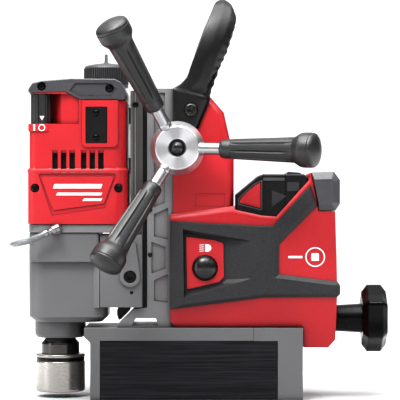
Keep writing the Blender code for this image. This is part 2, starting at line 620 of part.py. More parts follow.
def cluster_spot():
    """Where the layshaft stands, from the two pairs of meshing gears."""
    near_motor = GEAR_MODULE * (MOTOR_TEETH + CLUSTER_BIG) / 2
    near_spindle = GEAR_MODULE * (SPINDLE_TEETH + CLUSTER_SMALL) / 2
    return third_corner((MOTOR_X, 0), (SPINDLE_X, 0), near_motor, near_spindle)


def make_gear_case():
    rings = []
    for height, inset in ((CASE_FOOT, 5.0), (CASE_FOOT + 7, 0.0), (CASE_STEP + 1, 0.0)):
        section = oval_section(-166.5, -89.5, 38, 30, 16, inset)
        rings.append([(x, y, height) for x, y in section])
    case = to_object("gear_case", loft_mesh(rings), "cast_grey", round_piece=True)
    upper = oval_section(-168.5, -97.5, 44, 16, 2, steps=4)
    join(case, slab("add_case_top", upper, CASE_STEP, CASE_TOP, "Z"))
    ears = [(-112, -37), (-107.5, -37), (-97.5, -42), (-97.5, 42), (-107.5, 37), (-112, 37)]
    join(case, slab("add_case_ears", ears, 92, CASE_STEP + 2, "Z"))
    carve(case, box("cut_bracket_room", (-97.5, -60, 91.7), (-60, 60, 200)))
    lower_room = oval_section(-162.3, -101.5, 33.5, 24, 10, steps=4)
    carve(case, slab("cut_lower_room", lower_room, 88, 145, "Z"))
    upper_room = oval_section(-164.2, -101.5, 39.5, 12, 4, steps=3)
    carve(case, slab("cut_upper_room", upper_room, 141, 180, "Z"))
    carve(case, rod("cut_spindle_bore", SPINDLE_X, 0, 12, 60, 95, "Z"))
    plate = slab("motor_flange", oval_section(-168.5, -71.5, 45.5, 14, 8, steps=4), CASE_TOP + GAP,
                 MOTOR_FOOT - GAP, "Z", "cast_grey")
    carve(plate, rod("cut_flange_bore", MOTOR_X, 0, 7, 150, 190, "Z", steps=20))
    ring = [(20.5, 60.2), (24.6, 60.2), (25.6, 61.4), (25.6, 77.7), (20.5, 77.7)]
    turned("spindle_nose", ring, (SPINDLE_X, 0, 0), "Z", "cast_grey", 24, ring=True)
    bearing = [(10.3, 62), (20.2, 62), (20.2, 76), (10.3, 76)]
    turned("spindle_bearing", bearing, (SPINDLE_X, 0, 0), "Z", "steel", 24, ring=True)


def make_bracket():
    """Clamp that grips the slide plate from the front and both sides."""
    outer, inner = 42.0, SLIDE_HALF + GAP
    front, back, bed = -97.2, SLIDE_BACK - GAP, SLIDE_FRONT - GAP
    section = [(front, -outer), (back, -outer), (back, -inner), (bed, -inner), (bed, inner),
               (back, inner), (back, outer), (front, outer)]
    bracket = slab("slide_bracket", section, 92.3, 165, "Z", "cast_grey")
    carve(bracket, box("cut_bracket_core", (-92, -36, 99), (-71.5, 36, 180)))
    boss = arc(SLIDE_FRONT, CLAMP_Z, 10.5, 170, 370, 12) + [(-60.6, 157), (-64.6, 157)]
    join(bracket, slab("add_bracket_boss", boss, -43.6, -41))
    seat = [(0, 32), (3.6, 32), (3.6, 38.5), (6.0, 38.5), (6.0, 60), (0, 60)]
    centre = (SLIDE_FRONT, 0, CLAMP_Z)
    carve(bracket, turned("cut_bracket_bolt", seat, centre, (0, -1, 0), steps=20))
    bolt = [(0, 33.6), (3.3, 33.6), (3.3, 38.8), (5.6, 38.8), (5.6, 44.2), (2.7, 44.2), (2.7, 41.5),
            (0, 41.5)]
    turned("bracket_bolt", bolt, centre, (0, -1, 0), "dark_steel", 18)
    carve(bracket, rod("cut_set_screw", -65, 107.3, 1.9, -50, -38.5, "Y", steps=12))


def half_section(x0, x1, depth, left, right, side, steps=4):
    """Half of a rounded outline seen from above, from the split plane out to DEPTH."""
    points = [(x0, side * SPLIT)]
    points += [(x, side * y) for x, y in arc(x0 + left, depth - left, left, 180, 90, steps)]
    points += [(x, side * y) for x, y in arc(x1 - right, depth - right, right, 90, 0, steps)]
    points.append((x1, side * SPLIT))
    return points


def make_motor_half(side, name):
    lower = half_section(-169.0, -69.0, MOTOR_HALF, 9, 13, side)
    upper = half_section(-167.6, -70.6, HEAD_HALF, 9, 13, side)
    levels = ((MOTOR_FOOT, lower), (223, lower), (231, upper), (312, upper))
    rings = [[(x, y, height) for x, y in outline] for height, outline in levels]
    shell = to_object(name, loft_mesh(rings), "red_shell")
    cap_room = [(-180, 306.7), (-131, 307.7), (-115.5, 299.7), (-60, 299.7), (-60, 330), (-180, 330)]
    ends = sorted((-side * 2, side * 60))
    carve(shell, slab("cut_cap_" + name, cap_room, *ends))
    room = half_section(-165.2, -74.0, 42.2, 6, 9, side, 3)
    room = [(x, -side if abs(y) < 1 else y) for x, y in room]
    carve(shell, slab("cut_room_" + name, room, MOTOR_FOOT - 5, 270, "Z"))
    inner = sorted((-side * 1.0, side * 40.5))
    carve(shell, box("cut_head_" + name, (-131, inner[0], 260), (-76, inner[1], 320)))
    slots = [start + VENT_PITCH * k for start in VENT_GROUPS for k in range(3)]
    ends = sorted((side * 39, side * 60))
    for number, left in enumerate(slots):
        carve(shell, box("cut_vent_%d_" % number + name, (left, ends[0], VENT_FOOT),
                         (left + VENT_WIDTH, ends[1], VENT_TOP)))
    for tag, x in (("front", -161.5), ("back", -77.8)):
        carve(shell, rod("cut_%s_screw_" % tag + name, x, 212, 4.3, *sorted((side * 44.2, side * 60)),
                         "Y", steps=16))
    panel = [(-157.5, 223), (-146.5, 184), (-91.5, 192), (-79, 223)]
    carve(shell, slab("cut_panel_" + name, panel, *sorted((side * 45.9, side * 60))))
    return shell


def make_motor():
    near = make_motor_half(-1, "motor_case_near")
    make_motor_half(1, "motor_case_far")
    corner = [(-180, -60), (-180, -21.5), (-146, -21.5), (-136.5, -40), (-118, -43), (-116.5, -60)]
    carve(near, slab("cut_drum_corner", corner, 276.2, 306.4, "Z"))
    join(near, box("add_cover_frame", (-114.5, -47.4, 252), (-80.5, -44, 296)))
    carve(near, box("cut_cover_seat", (-110.9, -60, 256.7), (-89.1, -45.7, 293.3)))
    cover = box("motor_cover_plate", (-110.5, -47.5, 257.1), (-89.5, -46.0, 292.9), "black_plastic")
    for number, height in enumerate((287, 262), start=1):
        seat = rod("cut_cover_screw_%d" % number, -100.5, height, 3.4, -60, -46.9, "Y", steps=14)
        carve(cover, seat)
    side = [(-168.3, 307.2), (-168.3, 311), (-164, 317.3), (-155, 319.4), (-126, 321.6), (-82, 321.2),
            (-75.5, 318), (-71, 310), (-70.2, 300), (-115.4, 300), (-130.9, 308)]
    bm = slab_mesh(side, -HEAD_HALF, HEAD_HALF, "Y")
    for end in (-HEAD_HALF, HEAD_HALF):
        chamfer_rim(bm, end, 2.6, lambda middle: middle.z > 300.5 and middle.x > -168.2
                    and not (middle.x < -115 and middle.z < 309.5))
    cap = to_object("motor_top_cap", bm, "grey_plastic")
    ridge = [(-126, 310.5), (-120.5, 317), (-88, 317), (-80.5, 311.5), (-85, 304.5), (-116, 304.5)]
    carve(cap, slab("cut_cap_ridge", ridge, -60, -43.9))
    carve(cap, box("cut_cap_room", (-160, -40, 290), (-78, 40, 315.5)))
    for tag, x, z in (("a", -155.5, 313.8), ("b", -87, 312)):
        carve(cap, rod("cut_cap_screw_" + tag, x, z, 4.2, -60, -41.8, "Y", steps=16))
    make_motor_inside()


def make_motor_inside():
    stator = [(17.3, 190), (33, 190), (33, 236), (17.3, 236)]
    turned("motor_stator", stator, (MOTOR_X, 0, 0), "Z", "copper", 24, ring=True)
    profile = [(0, 149), (3.5, 149), (3.5, 189), (16.6, 189), (16.6, 237), (4, 237), (4, 268), (0, 268)]
    rotor = turned("motor_rotor", profile, (MOTOR_X, 0, 0), "Z", "steel", 20)
    blades = []
    for k in range(10):
        turn = 2 * math.pi * k / 10
        for radius, step in ((12, 0.0), (26, 0.16), (26, 0.30), (12, 0.42)):
            blades.append((MOTOR_X + radius * math.cos(turn + step), radius * math.sin(turn + step)))
    join(rotor, slab("add_cooling_fan", blades, 241, 249, "Z"))
    x, y = cluster_spot()
    to_motor = math.atan2(-y, MOTOR_X - x)
    pinion = gear_outline(MOTOR_X, 0, MOTOR_TEETH, GEAR_MODULE, meeting_phase(to_motor, MOTOR_TEETH))
    join(rotor, slab("add_motor_pinion", pinion, 149.5, 160, "Z"))
    big = gear_outline(x, y, CLUSTER_BIG, GEAR_MODULE, to_motor, tip=0.6)
    cluster = slab("layshaft_gears", big, 150, 158, "Z", "steel", (x, y, 0))
    from_spindle = math.atan2(y, x - SPINDLE_X)
    small = gear_outline(x, y, CLUSTER_SMALL, GEAR_MODULE, meeting_phase(from_spindle, CLUSTER_SMALL))
    join(cluster, slab("add_small_gear", small, 124, 151, "Z"))
    join(cluster, rod("add_layshaft", x, y, 4, 92, 164, "Z", steps=16))
    wheel = gear_outline(SPINDLE_X, 0, SPINDLE_TEETH, GEAR_MODULE, from_spindle, tip=0.6)
    shaft = [(0, 59.9), (10, 59.9), (10, 90), (9, 91), (9, 147), (0, 147)]
    spindle = turned("spindle", shaft, (SPINDLE_X, 0, 0), "Z", "steel", 20)
    join(spindle, slab("add_spindle_gear", wheel, 126, 138, "Z"))


def make_switch_drum():
    """Upright rotary switch at the front corner, with a flat that carries the pointer."""
    outline = arc(DRUM_X, DRUM_Y, DRUM_R, -60, 256, 20)
    slab("power_switch", outline, 276.6, 305.9, "Z", "black_plastic", (DRUM_X, DRUM_Y, 0))


def make_chuck():
    spot = (SPINDLE_X, 0, 0)
    body = [(0, 59.6), (15.5, 59.6), (19.3, 55.5), (19.3, 43.0), (19.0, 42.0), (19.0, 9), (ARBOR_R, 9),
            (ARBOR_R, 42), (0, 42)]
    turned("chuck_body", body, spot, "Z", "dark_steel", 20)
    sleeve = [(19.7, 43.2), (23.6, 43.6), (24.9, 42), (24.9, 36.4), (23.8, 35.2), (25.1, 34),
              (25.1, 7.4), (23.4, 5.2), (19.7, 5.2)]
    turned("chuck_sleeve", sleeve, spot, "Z", "bright_metal", 24, ring=True)


# ---------------------------------------------------------------- coolant supply

HOSE_R = 3.0
HOSE_ROUTE = [(-148.0, -54.6, 167.4), (-157.5, -55.6, 163.2), (-168.5, -53.5, 158.9),
              (-179.0, -45.0, 156.2), (-185.3, -30.0, 155.0), (-187.4, -10.0, 154.8),
              (-187.0, 12.0, 155.2), (-183.5, 34.0, 156.0), (-174.0, 53.5, 157.0),
              (-159.0, 68.0, 157.6), (-141.0, 76.0, 157.8), (-123.0, 77.5, 158.6),
              (-109.0, 77.2, 162.6), (-99.6, 77.0, 169.6), (-96.05, 77.0, 177.5),
              (-96.0, 77.0, 183.4)]


def make_coolant():
    spot = (BOTTLE_X, BOTTLE_Y, 0)
    bottle = [(0, 184.1), (3.2, 184.1), (3.2, 192), (8, 195), (22, 198), (BOTTLE_R, 204),
              (BOTTLE_R, 310), (23, 316), (19, 318), (19, 326), (0, 326)]
    turned("coolant_bottle", bottle, spot, "Z", "white_plastic", 20)
    cap = [(19.6, 318.6), (23.2, 318.6), (23.6, 320), (23.6, 340), (22, 343.5), (12, 346.2), (1.6, 346.6),
           (1.6, 354.4), (0, 354.4), (0, 326.4), (19.6, 326.4)]
    turned("bottle_cap", cap, spot, "Z", "black_plastic", 20, ring=True)
    cradle = slab("bottle_cradle", rectangle(-112, 222, -80, 303), 47.4, 50.6, "Y", "black_plastic")
    for tag, low, high in (("lower", 229.5, 244.5), ("upper", 280.5, 297.5)):
        band = [(BOTTLE_R + GAP, low), (BOTTLE_R + 2.9, low), (BOTTLE_R + 2.9, high), (BOTTLE_R + GAP, high)]
        join(cradle, turned("add_band_" + tag, band, spot, "Z", steps=20, ring=True))
    carve(cradle, rod("cut_bottle_room", BOTTLE_X, BOTTLE_Y, BOTTLE_R + 3 * GAP, 215, 310, "Z", steps=20))
    start, after = Vector(HOSE_ROUTE[0]), Vector(HOSE_ROUTE[1])
    along = (start - after).normalized()
    barb = [(0, 0.3), (2.2, 0.3), (3.4, 2.5), (3.0, 4.5), (4.6, 5.5), (4.6, 12.5), (0, 12.5)]
    fitting = turned("hose_fitting", barb, start, tuple(along), "bright_metal", 16)
    elbow = start + along * 9.0
    stub = [(0, -54.6), (3.6, -54.6), (4.5, -53.4), (4.5, -45.9), (0, -45.9)]
    join(fitting, turned("add_fitting_stub", stub, (elbow.x, 0, elbow.z), "Y", steps=16))
    hose = bpy.data.curves.new("coolant_hose", "CURVE")
    hose.dimensions = "3D"
    hose.bevel_depth = HOSE_R * MM
    hose.bevel_resolution = 2
    hose.use_fill_caps = True
    points = smooth_route(HOSE_ROUTE, 8.0)
    line = hose.splines.new("POLY")
    line.points.add(len(points) - 1)
    for knot, spot in zip(line.points, points):
        knot.co = (*(spot * MM), 1.0)
    hose.materials.append(finish_of("clear_hose"))
    bpy.context.collection.objects.link(bpy.data.objects.new("coolant_hose", hose))


def main():
    clear_scene()
    make_base()
    make_magnet()
    make_knob()
    make_column()
    make_work_light()
    make_housing()
    make_battery()
    make_handle()
    make_feed()
    make_slide()
    make_gear_case()
    make_bracket()
    make_motor()
    make_switch_drum()
    make_chuck()
    make_coolant()


main()
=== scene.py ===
import math

import bmesh
import bpy
from mathutils import Matrix, Vector


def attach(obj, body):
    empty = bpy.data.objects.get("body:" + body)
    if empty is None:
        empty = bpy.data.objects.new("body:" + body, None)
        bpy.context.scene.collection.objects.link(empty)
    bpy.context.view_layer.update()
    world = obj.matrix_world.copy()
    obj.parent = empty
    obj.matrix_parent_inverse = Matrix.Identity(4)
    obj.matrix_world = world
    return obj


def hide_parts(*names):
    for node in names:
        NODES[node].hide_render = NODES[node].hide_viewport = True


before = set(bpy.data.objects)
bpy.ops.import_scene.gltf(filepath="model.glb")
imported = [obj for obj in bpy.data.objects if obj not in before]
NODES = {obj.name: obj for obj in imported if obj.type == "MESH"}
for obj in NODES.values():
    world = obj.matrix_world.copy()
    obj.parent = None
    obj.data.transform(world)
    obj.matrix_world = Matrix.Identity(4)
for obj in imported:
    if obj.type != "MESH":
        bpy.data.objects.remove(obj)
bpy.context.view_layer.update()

MM = 0.001
SIDES = ((-1, "near"), (1, "far"))
UP = (0, 0, 1)
ACROSS = (0, 1, 0)


# Camera, floor and light

AIM = Vector((0.0, 0.0, 0.2))
LIGHTS = {"key": ((-0.8, -1.5, 2.5), (0.9, 0.9), 49.0), "side": ((-1.86, -0.75, 0.6), (0.22, 1.2), 5.0),
          "fill": ((1.7, -1.2, 2.1), (0.6, 0.6), 10.0), "top": ((-0.1, -0.35, 1.5), (1.5, 1.3), 40.0)}
# Centre of the darker, painted shade patch on the floor
FLOOR_SHADE_SPOT = (-0.05, -0.3, 0.0)
FLOOR_RADIUS = 6.0


def placed(name, data):
    """A new object of the scene."""
    thing = bpy.data.objects.new(name, data)
    bpy.context.collection.objects.link(thing)
    return thing


def make_camera():
    data = bpy.data.cameras.new("camera")
    data.lens = 180.0
    data.sensor_width = 36.0
    data.clip_end = 60.0
    camera = placed("camera", data)
    camera.location = (0.0035, -2.045, 0.200)
    camera.rotation_euler = (math.pi / 2, 0.0, 0.0)
    bpy.context.scene.camera = camera


def make_studio():
    """A backdrop that is white to the camera and lights the machine only from above and behind."""
    world = bpy.data.worlds.new("studio")
    bpy.context.scene.world = world
    sky = Graph(world, "Background", "Generated")
    parts = sky.add("SeparateXYZ", {0: sky.place})

    def fade(axis, low, high, dim, bright):
        sockets = dict(enumerate((parts.outputs[axis], low, high, dim, bright)))
        return sky.add("MapRange", sockets, interpolation_type="SMOOTHSTEP").outputs[0]
    larger = sky.calc("MAXIMUM", fade("Y", 0.74, 0.96, 0.08, 1.06), fade("Z", 0.20, 0.75, 0.07, 1.08))
    seen = sky.add("LightPath").outputs["Is Camera Ray"]
    sky.finish(Color=(1.0, 1.0, 1.0), Strength=sky.calc("MAXIMUM", larger, seen))
    for name, (spot, size, power) in LIGHTS.items():
        data = bpy.data.lights.new(name, "AREA")
        data.shape = "RECTANGLE"
        data.size, data.size_y = size
        data.energy = power
        lamp = placed(name, data)
        lamp.location = spot
        lamp.rotation_euler = (AIM - Vector(spot)).to_track_quat("-Z", "Y").to_euler()
    bpy.context.scene.view_settings.view_transform = "Standard"
    bpy.context.scene.view_settings.look = "Medium High Contrast"
    floor = Graph(bpy.data.materials.new("pale_floor"))
    # Painted shade: the floor is darker around a spot in front of the machine, which also cuts the light it
    # bounces onto the machine's undersides.
    away = floor.add("VectorMath", {0: floor.place, 1: FLOOR_SHADE_SPOT}, operation="DISTANCE")
    near = floor.ramp(away.outputs["Value"], 0.25, 0.6)
    pale = floor.blend(floor.noise(3.0, 2), (0.95, 0.95, 0.955), (0.97, 0.97, 0.975))
    floor.finish(Base_Color=floor.blend(near, (0.36, 0.36, 0.37), pale), Roughness=0.7)
    bm = bmesh.new()
    bm.faces.new([bm.verts.new((x, y, -0.0004)) for x, y in circle(0, 0, FLOOR_RADIUS, 64)])
    mesh = bpy.data.meshes.new("floor")
    bm.to_mesh(mesh)
    bm.free()
    mesh.materials.append(floor.owner)
    placed("floor", mesh)


# Materials

class Graph:
    """The nodes of a material or world, with short calls to add them."""

    def __init__(self, owner, shader="Principled BSDF", space="Object"):
        owner.use_nodes = True
        self.owner = owner
        self.tree = owner.node_tree
        self.shader = self.tree.nodes[shader]
        self.place = self.add("TexCoord").outputs[space]

    def add(self, kind, inputs=(), **settings):
        """A node with its settings, and its inputs as {socket: constant or another node's output}."""
        node = self.tree.nodes.new("ShaderNode" + kind)
        for key, value in settings.items():
            setattr(node, key, value)
        self.feed(node, dict(inputs))
        return node

    def feed(self, node, inputs):
        for key, value in inputs.items():
            socket = node.inputs[key]
            if isinstance(value, bpy.types.NodeSocket):
                self.tree.links.new(value, socket)
            elif isinstance(value, tuple) and len(socket.default_value) == 4:
                socket.default_value = (*value, 1.0)
            else:
                socket.default_value = value

    def noise(self, scale, detail=3.0, rough=0.5, where=None):
        sockets = {"Vector": where or self.place, "Scale": scale, "Detail": detail, "Roughness": rough}
        return self.add("TexNoise", sockets).outputs["Fac"]

    def streaks(self, scale, detail, rough):
        """Noise drawn out along an axis: SCALE has one number for each axis."""
        drawn = self.add("Mapping", {"Vector": self.place, "Scale": scale}).outputs["Vector"]
        return self.noise(1.0, detail, rough, drawn)

    def ramp(self, value, low, high, out_low=0.0, out_high=1.0):
        sockets = dict(enumerate((value, low, high, out_low, out_high)))
        return self.add("MapRange", sockets).outputs["Result"]

    def blend(self, factor, a, b):
        """Two colours mixed. The colour sockets of a Mix node are 6 and 7, and its colour output is 2."""
        return self.add("Mix", {0: factor, 6: a, 7: b}, data_type="RGBA").outputs[2]

    def calc(self, kind, a, b=0.0):
        return self.add("Math", {0: a, 1: b}, operation=kind).outputs[0]

    def vary(self, factor, colour, low, high):
        """COLOUR from LOW to HIGH times its brightness."""
        return self.blend(factor, shade(colour, low), shade(colour, high))

    def stain(self, base, mask, amount, colour):
        """BASE with AMOUNT of another colour where MASK is 1."""
        return self.blend(self.calc("MULTIPLY", mask, amount), base, colour)

    def bump(self, height, depth, strength):
        node = self.add("Bump", {"Strength": strength, "Distance": depth, "Height": height})
        self.finish(Normal=node.outputs["Normal"])

    def painted_crease_shade(self, value):
        """VALUE made darker by ambient occlusion in seams and corners: painted shade."""
        reach = self.add("AmbientOcclusion", {"Distance": 0.008}, samples=8)
        return self.blend(self.ramp(reach.outputs["AO"], 0.92, 0.42, 0.0, 0.7), value, (0.0, 0.0, 0.0))

    def edges(self, radius):
        """1 where the surface turns within RADIUS, broken up by noise, as paint wears along an edge."""
        soft = self.add("Bevel", {"Radius": radius}, samples=4).outputs["Normal"]
        flat = self.add("NewGeometry").outputs["Normal"]
        product = self.add("VectorMath", {0: soft, 1: flat}, operation="DOT_PRODUCT")
        turn = self.calc("SUBTRACT", 1.0, product.outputs["Value"])
        return self.ramp(self.calc("MULTIPLY", turn, self.noise(260, 4)), 0.02, 0.3)

    def finish(self, **inputs):
        """Feed the shader. Each name is one of its inputs, with _ for a space."""
        self.feed(self.shader, {key.replace("_", " "): value for key, value in inputs.items()})
        return self.owner


def shade(colour, factor):
    return tuple(min(1.0, channel * factor) for channel in colour)


def plastic(name, colour, rough, grain=2600.0, depth=0.00004, spread=0.10, coat=0.0, dust=0.04,
            specular=0.5):
    """Moulded plastic: slow drift of tone, fine eroded grain, uneven gloss, a little dust and painted shade
    in seams and corners.
    """
    g = Graph(bpy.data.materials.new(name))
    base = g.vary(g.ramp(g.noise(14, 3), 0.3, 0.7), colour, 1 - spread, 1 + spread)
    base = g.stain(base, g.ramp(g.noise(900, 2), 0.35, 0.8), dust, (0.5, 0.48, 0.46))
    g.finish(Base_Color=g.painted_crease_shade(base), Coat_Weight=coat, Coat_Roughness=0.25, Specular_IOR_Level=specular,
             Roughness=g.ramp(g.noise(55, 4, 0.6), 0.25, 0.75, rough - 0.06, rough + 0.07))
    g.bump(g.noise(grain, 2), depth, 0.7)
    return g.owner


def painted(name, colour, rough, wear):
    """Painted casting: orange peel, slow tone drift, bare metal showing at worn edges and painted shade in
    seams and corners.
    """
    g = Graph(bpy.data.materials.new(name))
    base = g.vary(g.ramp(g.noise(11, 4), 0.3, 0.7), colour, 0.9, 1.08)
    base = g.stain(base, g.ramp(g.noise(1400, 2), 0.55, 0.75), 0.18, shade(colour, 1.9))
    base = g.stain(base, g.edges(0.0008), wear, (0.62, 0.62, 0.62))
    g.finish(Base_Color=g.painted_crease_shade(base), Metallic=0.0,
             Roughness=g.ramp(g.noise(40, 4, 0.6), 0.25, 0.75, rough - 0.07, rough + 0.08))
    g.bump(g.noise(420, 3), 0.0001, 0.6)
    return g.owner


def metal(name, colour, rough, stretch, streak=0.12, specks=0.0):
    """Machined metal: fine lines along one direction in tone, gloss and height."""
    g = Graph(bpy.data.materials.new(name))
    lines = g.streaks(stretch, 4, 0.65)
    drift = g.noise(30, 3)
    base = g.vary(g.ramp(lines, 0.25, 0.75), colour, 1 - streak, 1 + streak)
    base = g.stain(base, g.ramp(drift, 0.55, 0.8), 0.25, shade(colour, 0.7))
    if specks:
        base = g.stain(base, g.ramp(g.noise(700, 3), 0.6, 0.75), specks, (0.16, 0.10, 0.07))
    g.finish(Base_Color=base, Roughness=g.ramp(lines, 0.2, 0.8, rough - 0.05, rough + 0.09), Metallic=1.0)
    g.bump(lines, 0.00002, 0.5)
    return g.owner


def turned_metal(name, colour, rough, axis, centre, sheen_sectors=0, speckle=0.0):
    """Lathe-turned metal: rings round an axis. AXIS is 0, 1 or 2 and CENTRE a point on it."""
    g = Graph(bpy.data.materials.new(name))
    shifted = g.add("VectorMath", {0: g.place, 1: centre}, operation="SUBTRACT").outputs[0]
    flat = tuple(0.0 if k == axis else 1.0 for k in range(3))
    across = g.add("VectorMath", {0: shifted, 1: flat}, operation="MULTIPLY").outputs[0]
    radius = g.add("VectorMath", {0: across}, operation="LENGTH").outputs["Value"]
    parts = g.add("SeparateXYZ", {0: shifted}).outputs
    joined = g.add("CombineXYZ", {0: radius, 1: parts[axis]}).outputs[0]
    rings = g.noise(2600.0, 4, 0.7, joined)
    base = g.vary(g.ramp(rings, 0.3, 0.7), colour, 0.9, 1.1)
    # Painted reflection: lighter and darker sectors round the axis stand for the radial sheen of brushed
    # metal.
    if sheen_sectors:
        first, second = [parts[k] for k in range(3) if k != axis]
        turn = g.calc("ARCTAN2", second, first)
        sheen_wave = g.calc("SINE", g.calc("ADD", g.calc("MULTIPLY", turn, float(sheen_sectors)), 0.9))
        base = g.blend(g.ramp(sheen_wave, -0.7, 0.7), base, shade(colour, 0.62))
    if speckle:
        base = g.stain(base, g.ramp(g.noise(1300.0, 2, 0.5), 0.52, 0.66), speckle, shade(colour, 0.35))
    smear = g.noise(60, 3)
    gloss = g.calc("ADD", g.ramp(rings, 0.2, 0.8, rough - 0.04, rough + 0.06),
                   g.ramp(smear, 0.4, 0.8, 0.0, 0.06))
    g.finish(Base_Color=base, Roughness=gloss, Metallic=1.0)
    g.bump(rings, 0.000015, 0.6)
    return g.owner


def magnet_black():
    """Black lacquered steel with long bright streaks."""
    g = Graph(bpy.data.materials.new("magnet_black"))
    lines = g.streaks((14, 14, 900), 5, 0.6)
    cloud = g.noise(30, 4)
    base = g.blend(g.ramp(lines, 0.42, 0.62), (0.0015, 0.0015, 0.002), (0.014, 0.0135, 0.018))
    base = g.stain(base, g.ramp(cloud, 0.5, 0.8), 0.3, (0.012, 0.0115, 0.011))
    g.finish(Base_Color=base, Roughness=g.ramp(lines, 0.3, 0.7, 0.46, 0.66), Specular_IOR_Level=0.25)
    g.bump(lines, 0.00003, 0.6)
    return g.owner


def clear_tube():
    g = Graph(bpy.data.materials.new("clear_tube"))
    haze = g.noise(220, 3)
    return g.finish(Base_Color=g.blend(haze, (0.20, 0.21, 0.22), (0.34, 0.35, 0.36)),
                    Roughness=g.ramp(haze, 0.3, 0.7, 0.08, 0.20), Transmission_Weight=0.45, IOR=1.42)


LOOKS = {
    "red": plastic("red_shell", (0.42, 0.0105, 0.0165), 0.38, specular=0.36, dust=0.03),
    "skin": plastic("dark_skin", (0.0165, 0.0168, 0.0188), 0.50, grain=1500, depth=0.00007, specular=0.35),
    "hand": plastic("hand_black", (0.0055, 0.0055, 0.006), 0.33, grain=1800, specular=0.34, dust=0.01),
    "grey": plastic("grey_plastic", (0.040, 0.040, 0.045), 0.32, specular=0.6),
    "black": plastic("black_plastic", (0.004, 0.004, 0.0042), 0.36, spread=0.2, dust=0.012, specular=0.25),
    "grip": plastic("grip_black", (0.0075, 0.0075, 0.008), 0.40, 1800, spread=0.2, dust=0.02, specular=0.6),
    "cast": painted("cast_grey", (0.118, 0.118, 0.120), 0.38, 0.5),
    # Painted light: a lighter copy of the cast grey paint, so the column and the motor flange look more
    # brightly lit than the rest of the casting.
    "column": painted("cast_grey_lit", (0.168, 0.168, 0.171), 0.40, 0.5),
    "base": painted("base_grey", (0.112, 0.113, 0.115), 0.42, 0.6),
    "slide": metal("slide_steel", (0.11, 0.106, 0.103), 0.45, (900, 900, 12), 0.16, specks=0.25),
    "steel": metal("machined_steel", (0.48, 0.47, 0.46), 0.32, (900, 900, 30)),
    "oxide": metal("black_oxide", (0.022, 0.022, 0.023), 0.26, (500, 500, 500), 0.2),
    "bolt": metal("worn_bolt", (0.05, 0.047, 0.045), 0.34, (500, 500, 500), 0.2),
    "brass": metal("brass", (0.72, 0.48, 0.20), 0.3, (20, 900, 900)),
    "copper": metal("wound_copper", (0.70, 0.30, 0.14), 0.34, (900, 900, 60), 0.2),
    "hub": turned_metal("turned_hub", (0.80, 0.80, 0.82), 0.36, 1, (-0.019, 0.0, 0.2516), sheen_sectors=4),
    "sleeve": turned_metal("turned_sleeve", (0.50, 0.475, 0.445), 0.27, 2, (-0.1391, 0, 0), speckle=0.5),
    "rod": metal("polished_rod", (0.42, 0.42, 0.43), 0.30, (700, 700, 700), 0.06),
    "board": plastic("circuit_board", (0.015, 0.13, 0.05), 0.35, spread=0.25),
    "bottle": plastic("frosted_bottle", (0.62, 0.63, 0.62), 0.35, spread=0.04, dust=0.02),
    "dome": plastic("gloss_black", (0.005, 0.005, 0.0055), 0.26, 2600.0, 0.00001, 0.2, 0.1, 0.01),
    "neck": metal("black_neck", (0.075, 0.073, 0.070), 0.20, (300, 300, 2500), 0.2),
    "fitting": metal("plated_fitting", (0.33, 0.32, 0.32), 0.30, (700, 700, 700), 0.2),
    "cap": plastic("ribbed_cap", (0.045, 0.045, 0.048), 0.42, specular=0.4),
    "knob": plastic("knob_black", (0.0018, 0.0018, 0.0019), 0.26, spread=0.2, dust=0.003, specular=0.15),
    # The dark sheet behind the motor vents: painted shade.
    "void": plastic("vent_shade_black", (0.006, 0.006, 0.006), 0.8, spread=0.3, dust=0.06),
    "white": plastic("printed_white", (0.78, 0.76, 0.75), 0.45, spread=0.03, dust=0.03),
    "lens": plastic("frosted_lens", (0.75, 0.76, 0.78), 0.2, spread=0.03, dust=0.02, coat=0.6),
    "magnet": magnet_black(),
    "tube": clear_tube(),
}
# The looks of the CAD nodes that no piece below stands for
LOOK_OF = {
    "black": "gib_strip_near gib_strip_far battery_terminal_block work_light",
    "column": "column",
    "base": "base_plate base_rear_block",
    "magnet": "magnet_pole_near magnet_pole_far",
    "slide": "slide_plate",
    "steel": "feed_rack pinion_shaft magnet_rotor knob_shaft motor_rotor layshaft_gears "
             "spindle spindle_bearing",
    "brass": "pole_spacer",
    "copper": "motor_stator",
    "board": "control_board",
}


def polish(node):
    """Weld and flatten the node's faces with modifiers, then round its edges."""
    weld = NODES[node].modifiers.new("weld", "WELD")
    weld.merge_threshold = 2e-6
    flat = NODES[node].modifiers.new("flatten", "DECIMATE")
    flat.decimate_type = "DISSOLVE"
    flat.angle_limit = math.radians(0.4)
    bevel = NODES[node].modifiers.new("round", "BEVEL")
    bevel.width = 0.5 * MM
    bevel.segments = 2
    bevel.limit_method = "ANGLE"
    bevel.angle_limit = math.radians(28)
    bevel.use_clamp_overlap = True
    bevel.harden_normals = True


def dress_nodes():
    for look, names in LOOK_OF.items():
        for name in names.split():
            NODES[name].data.materials.clear()
            NODES[name].data.materials.append(LOOKS[look])
    for name in ("column", "base_plate", "base_rear_block"):
        polish(name)


# Mesh helpers, in millimetres

AXES = {"X": Matrix(((0, 0, 1), (1, 0, 0), (0, 1, 0))),
        "Y": Matrix(((1, 0, 0), (0, 0, 1), (0, 1, 0))),
        "Z": Matrix(((1, 0, 0), (0, 1, 0), (0, 0, 1)))}


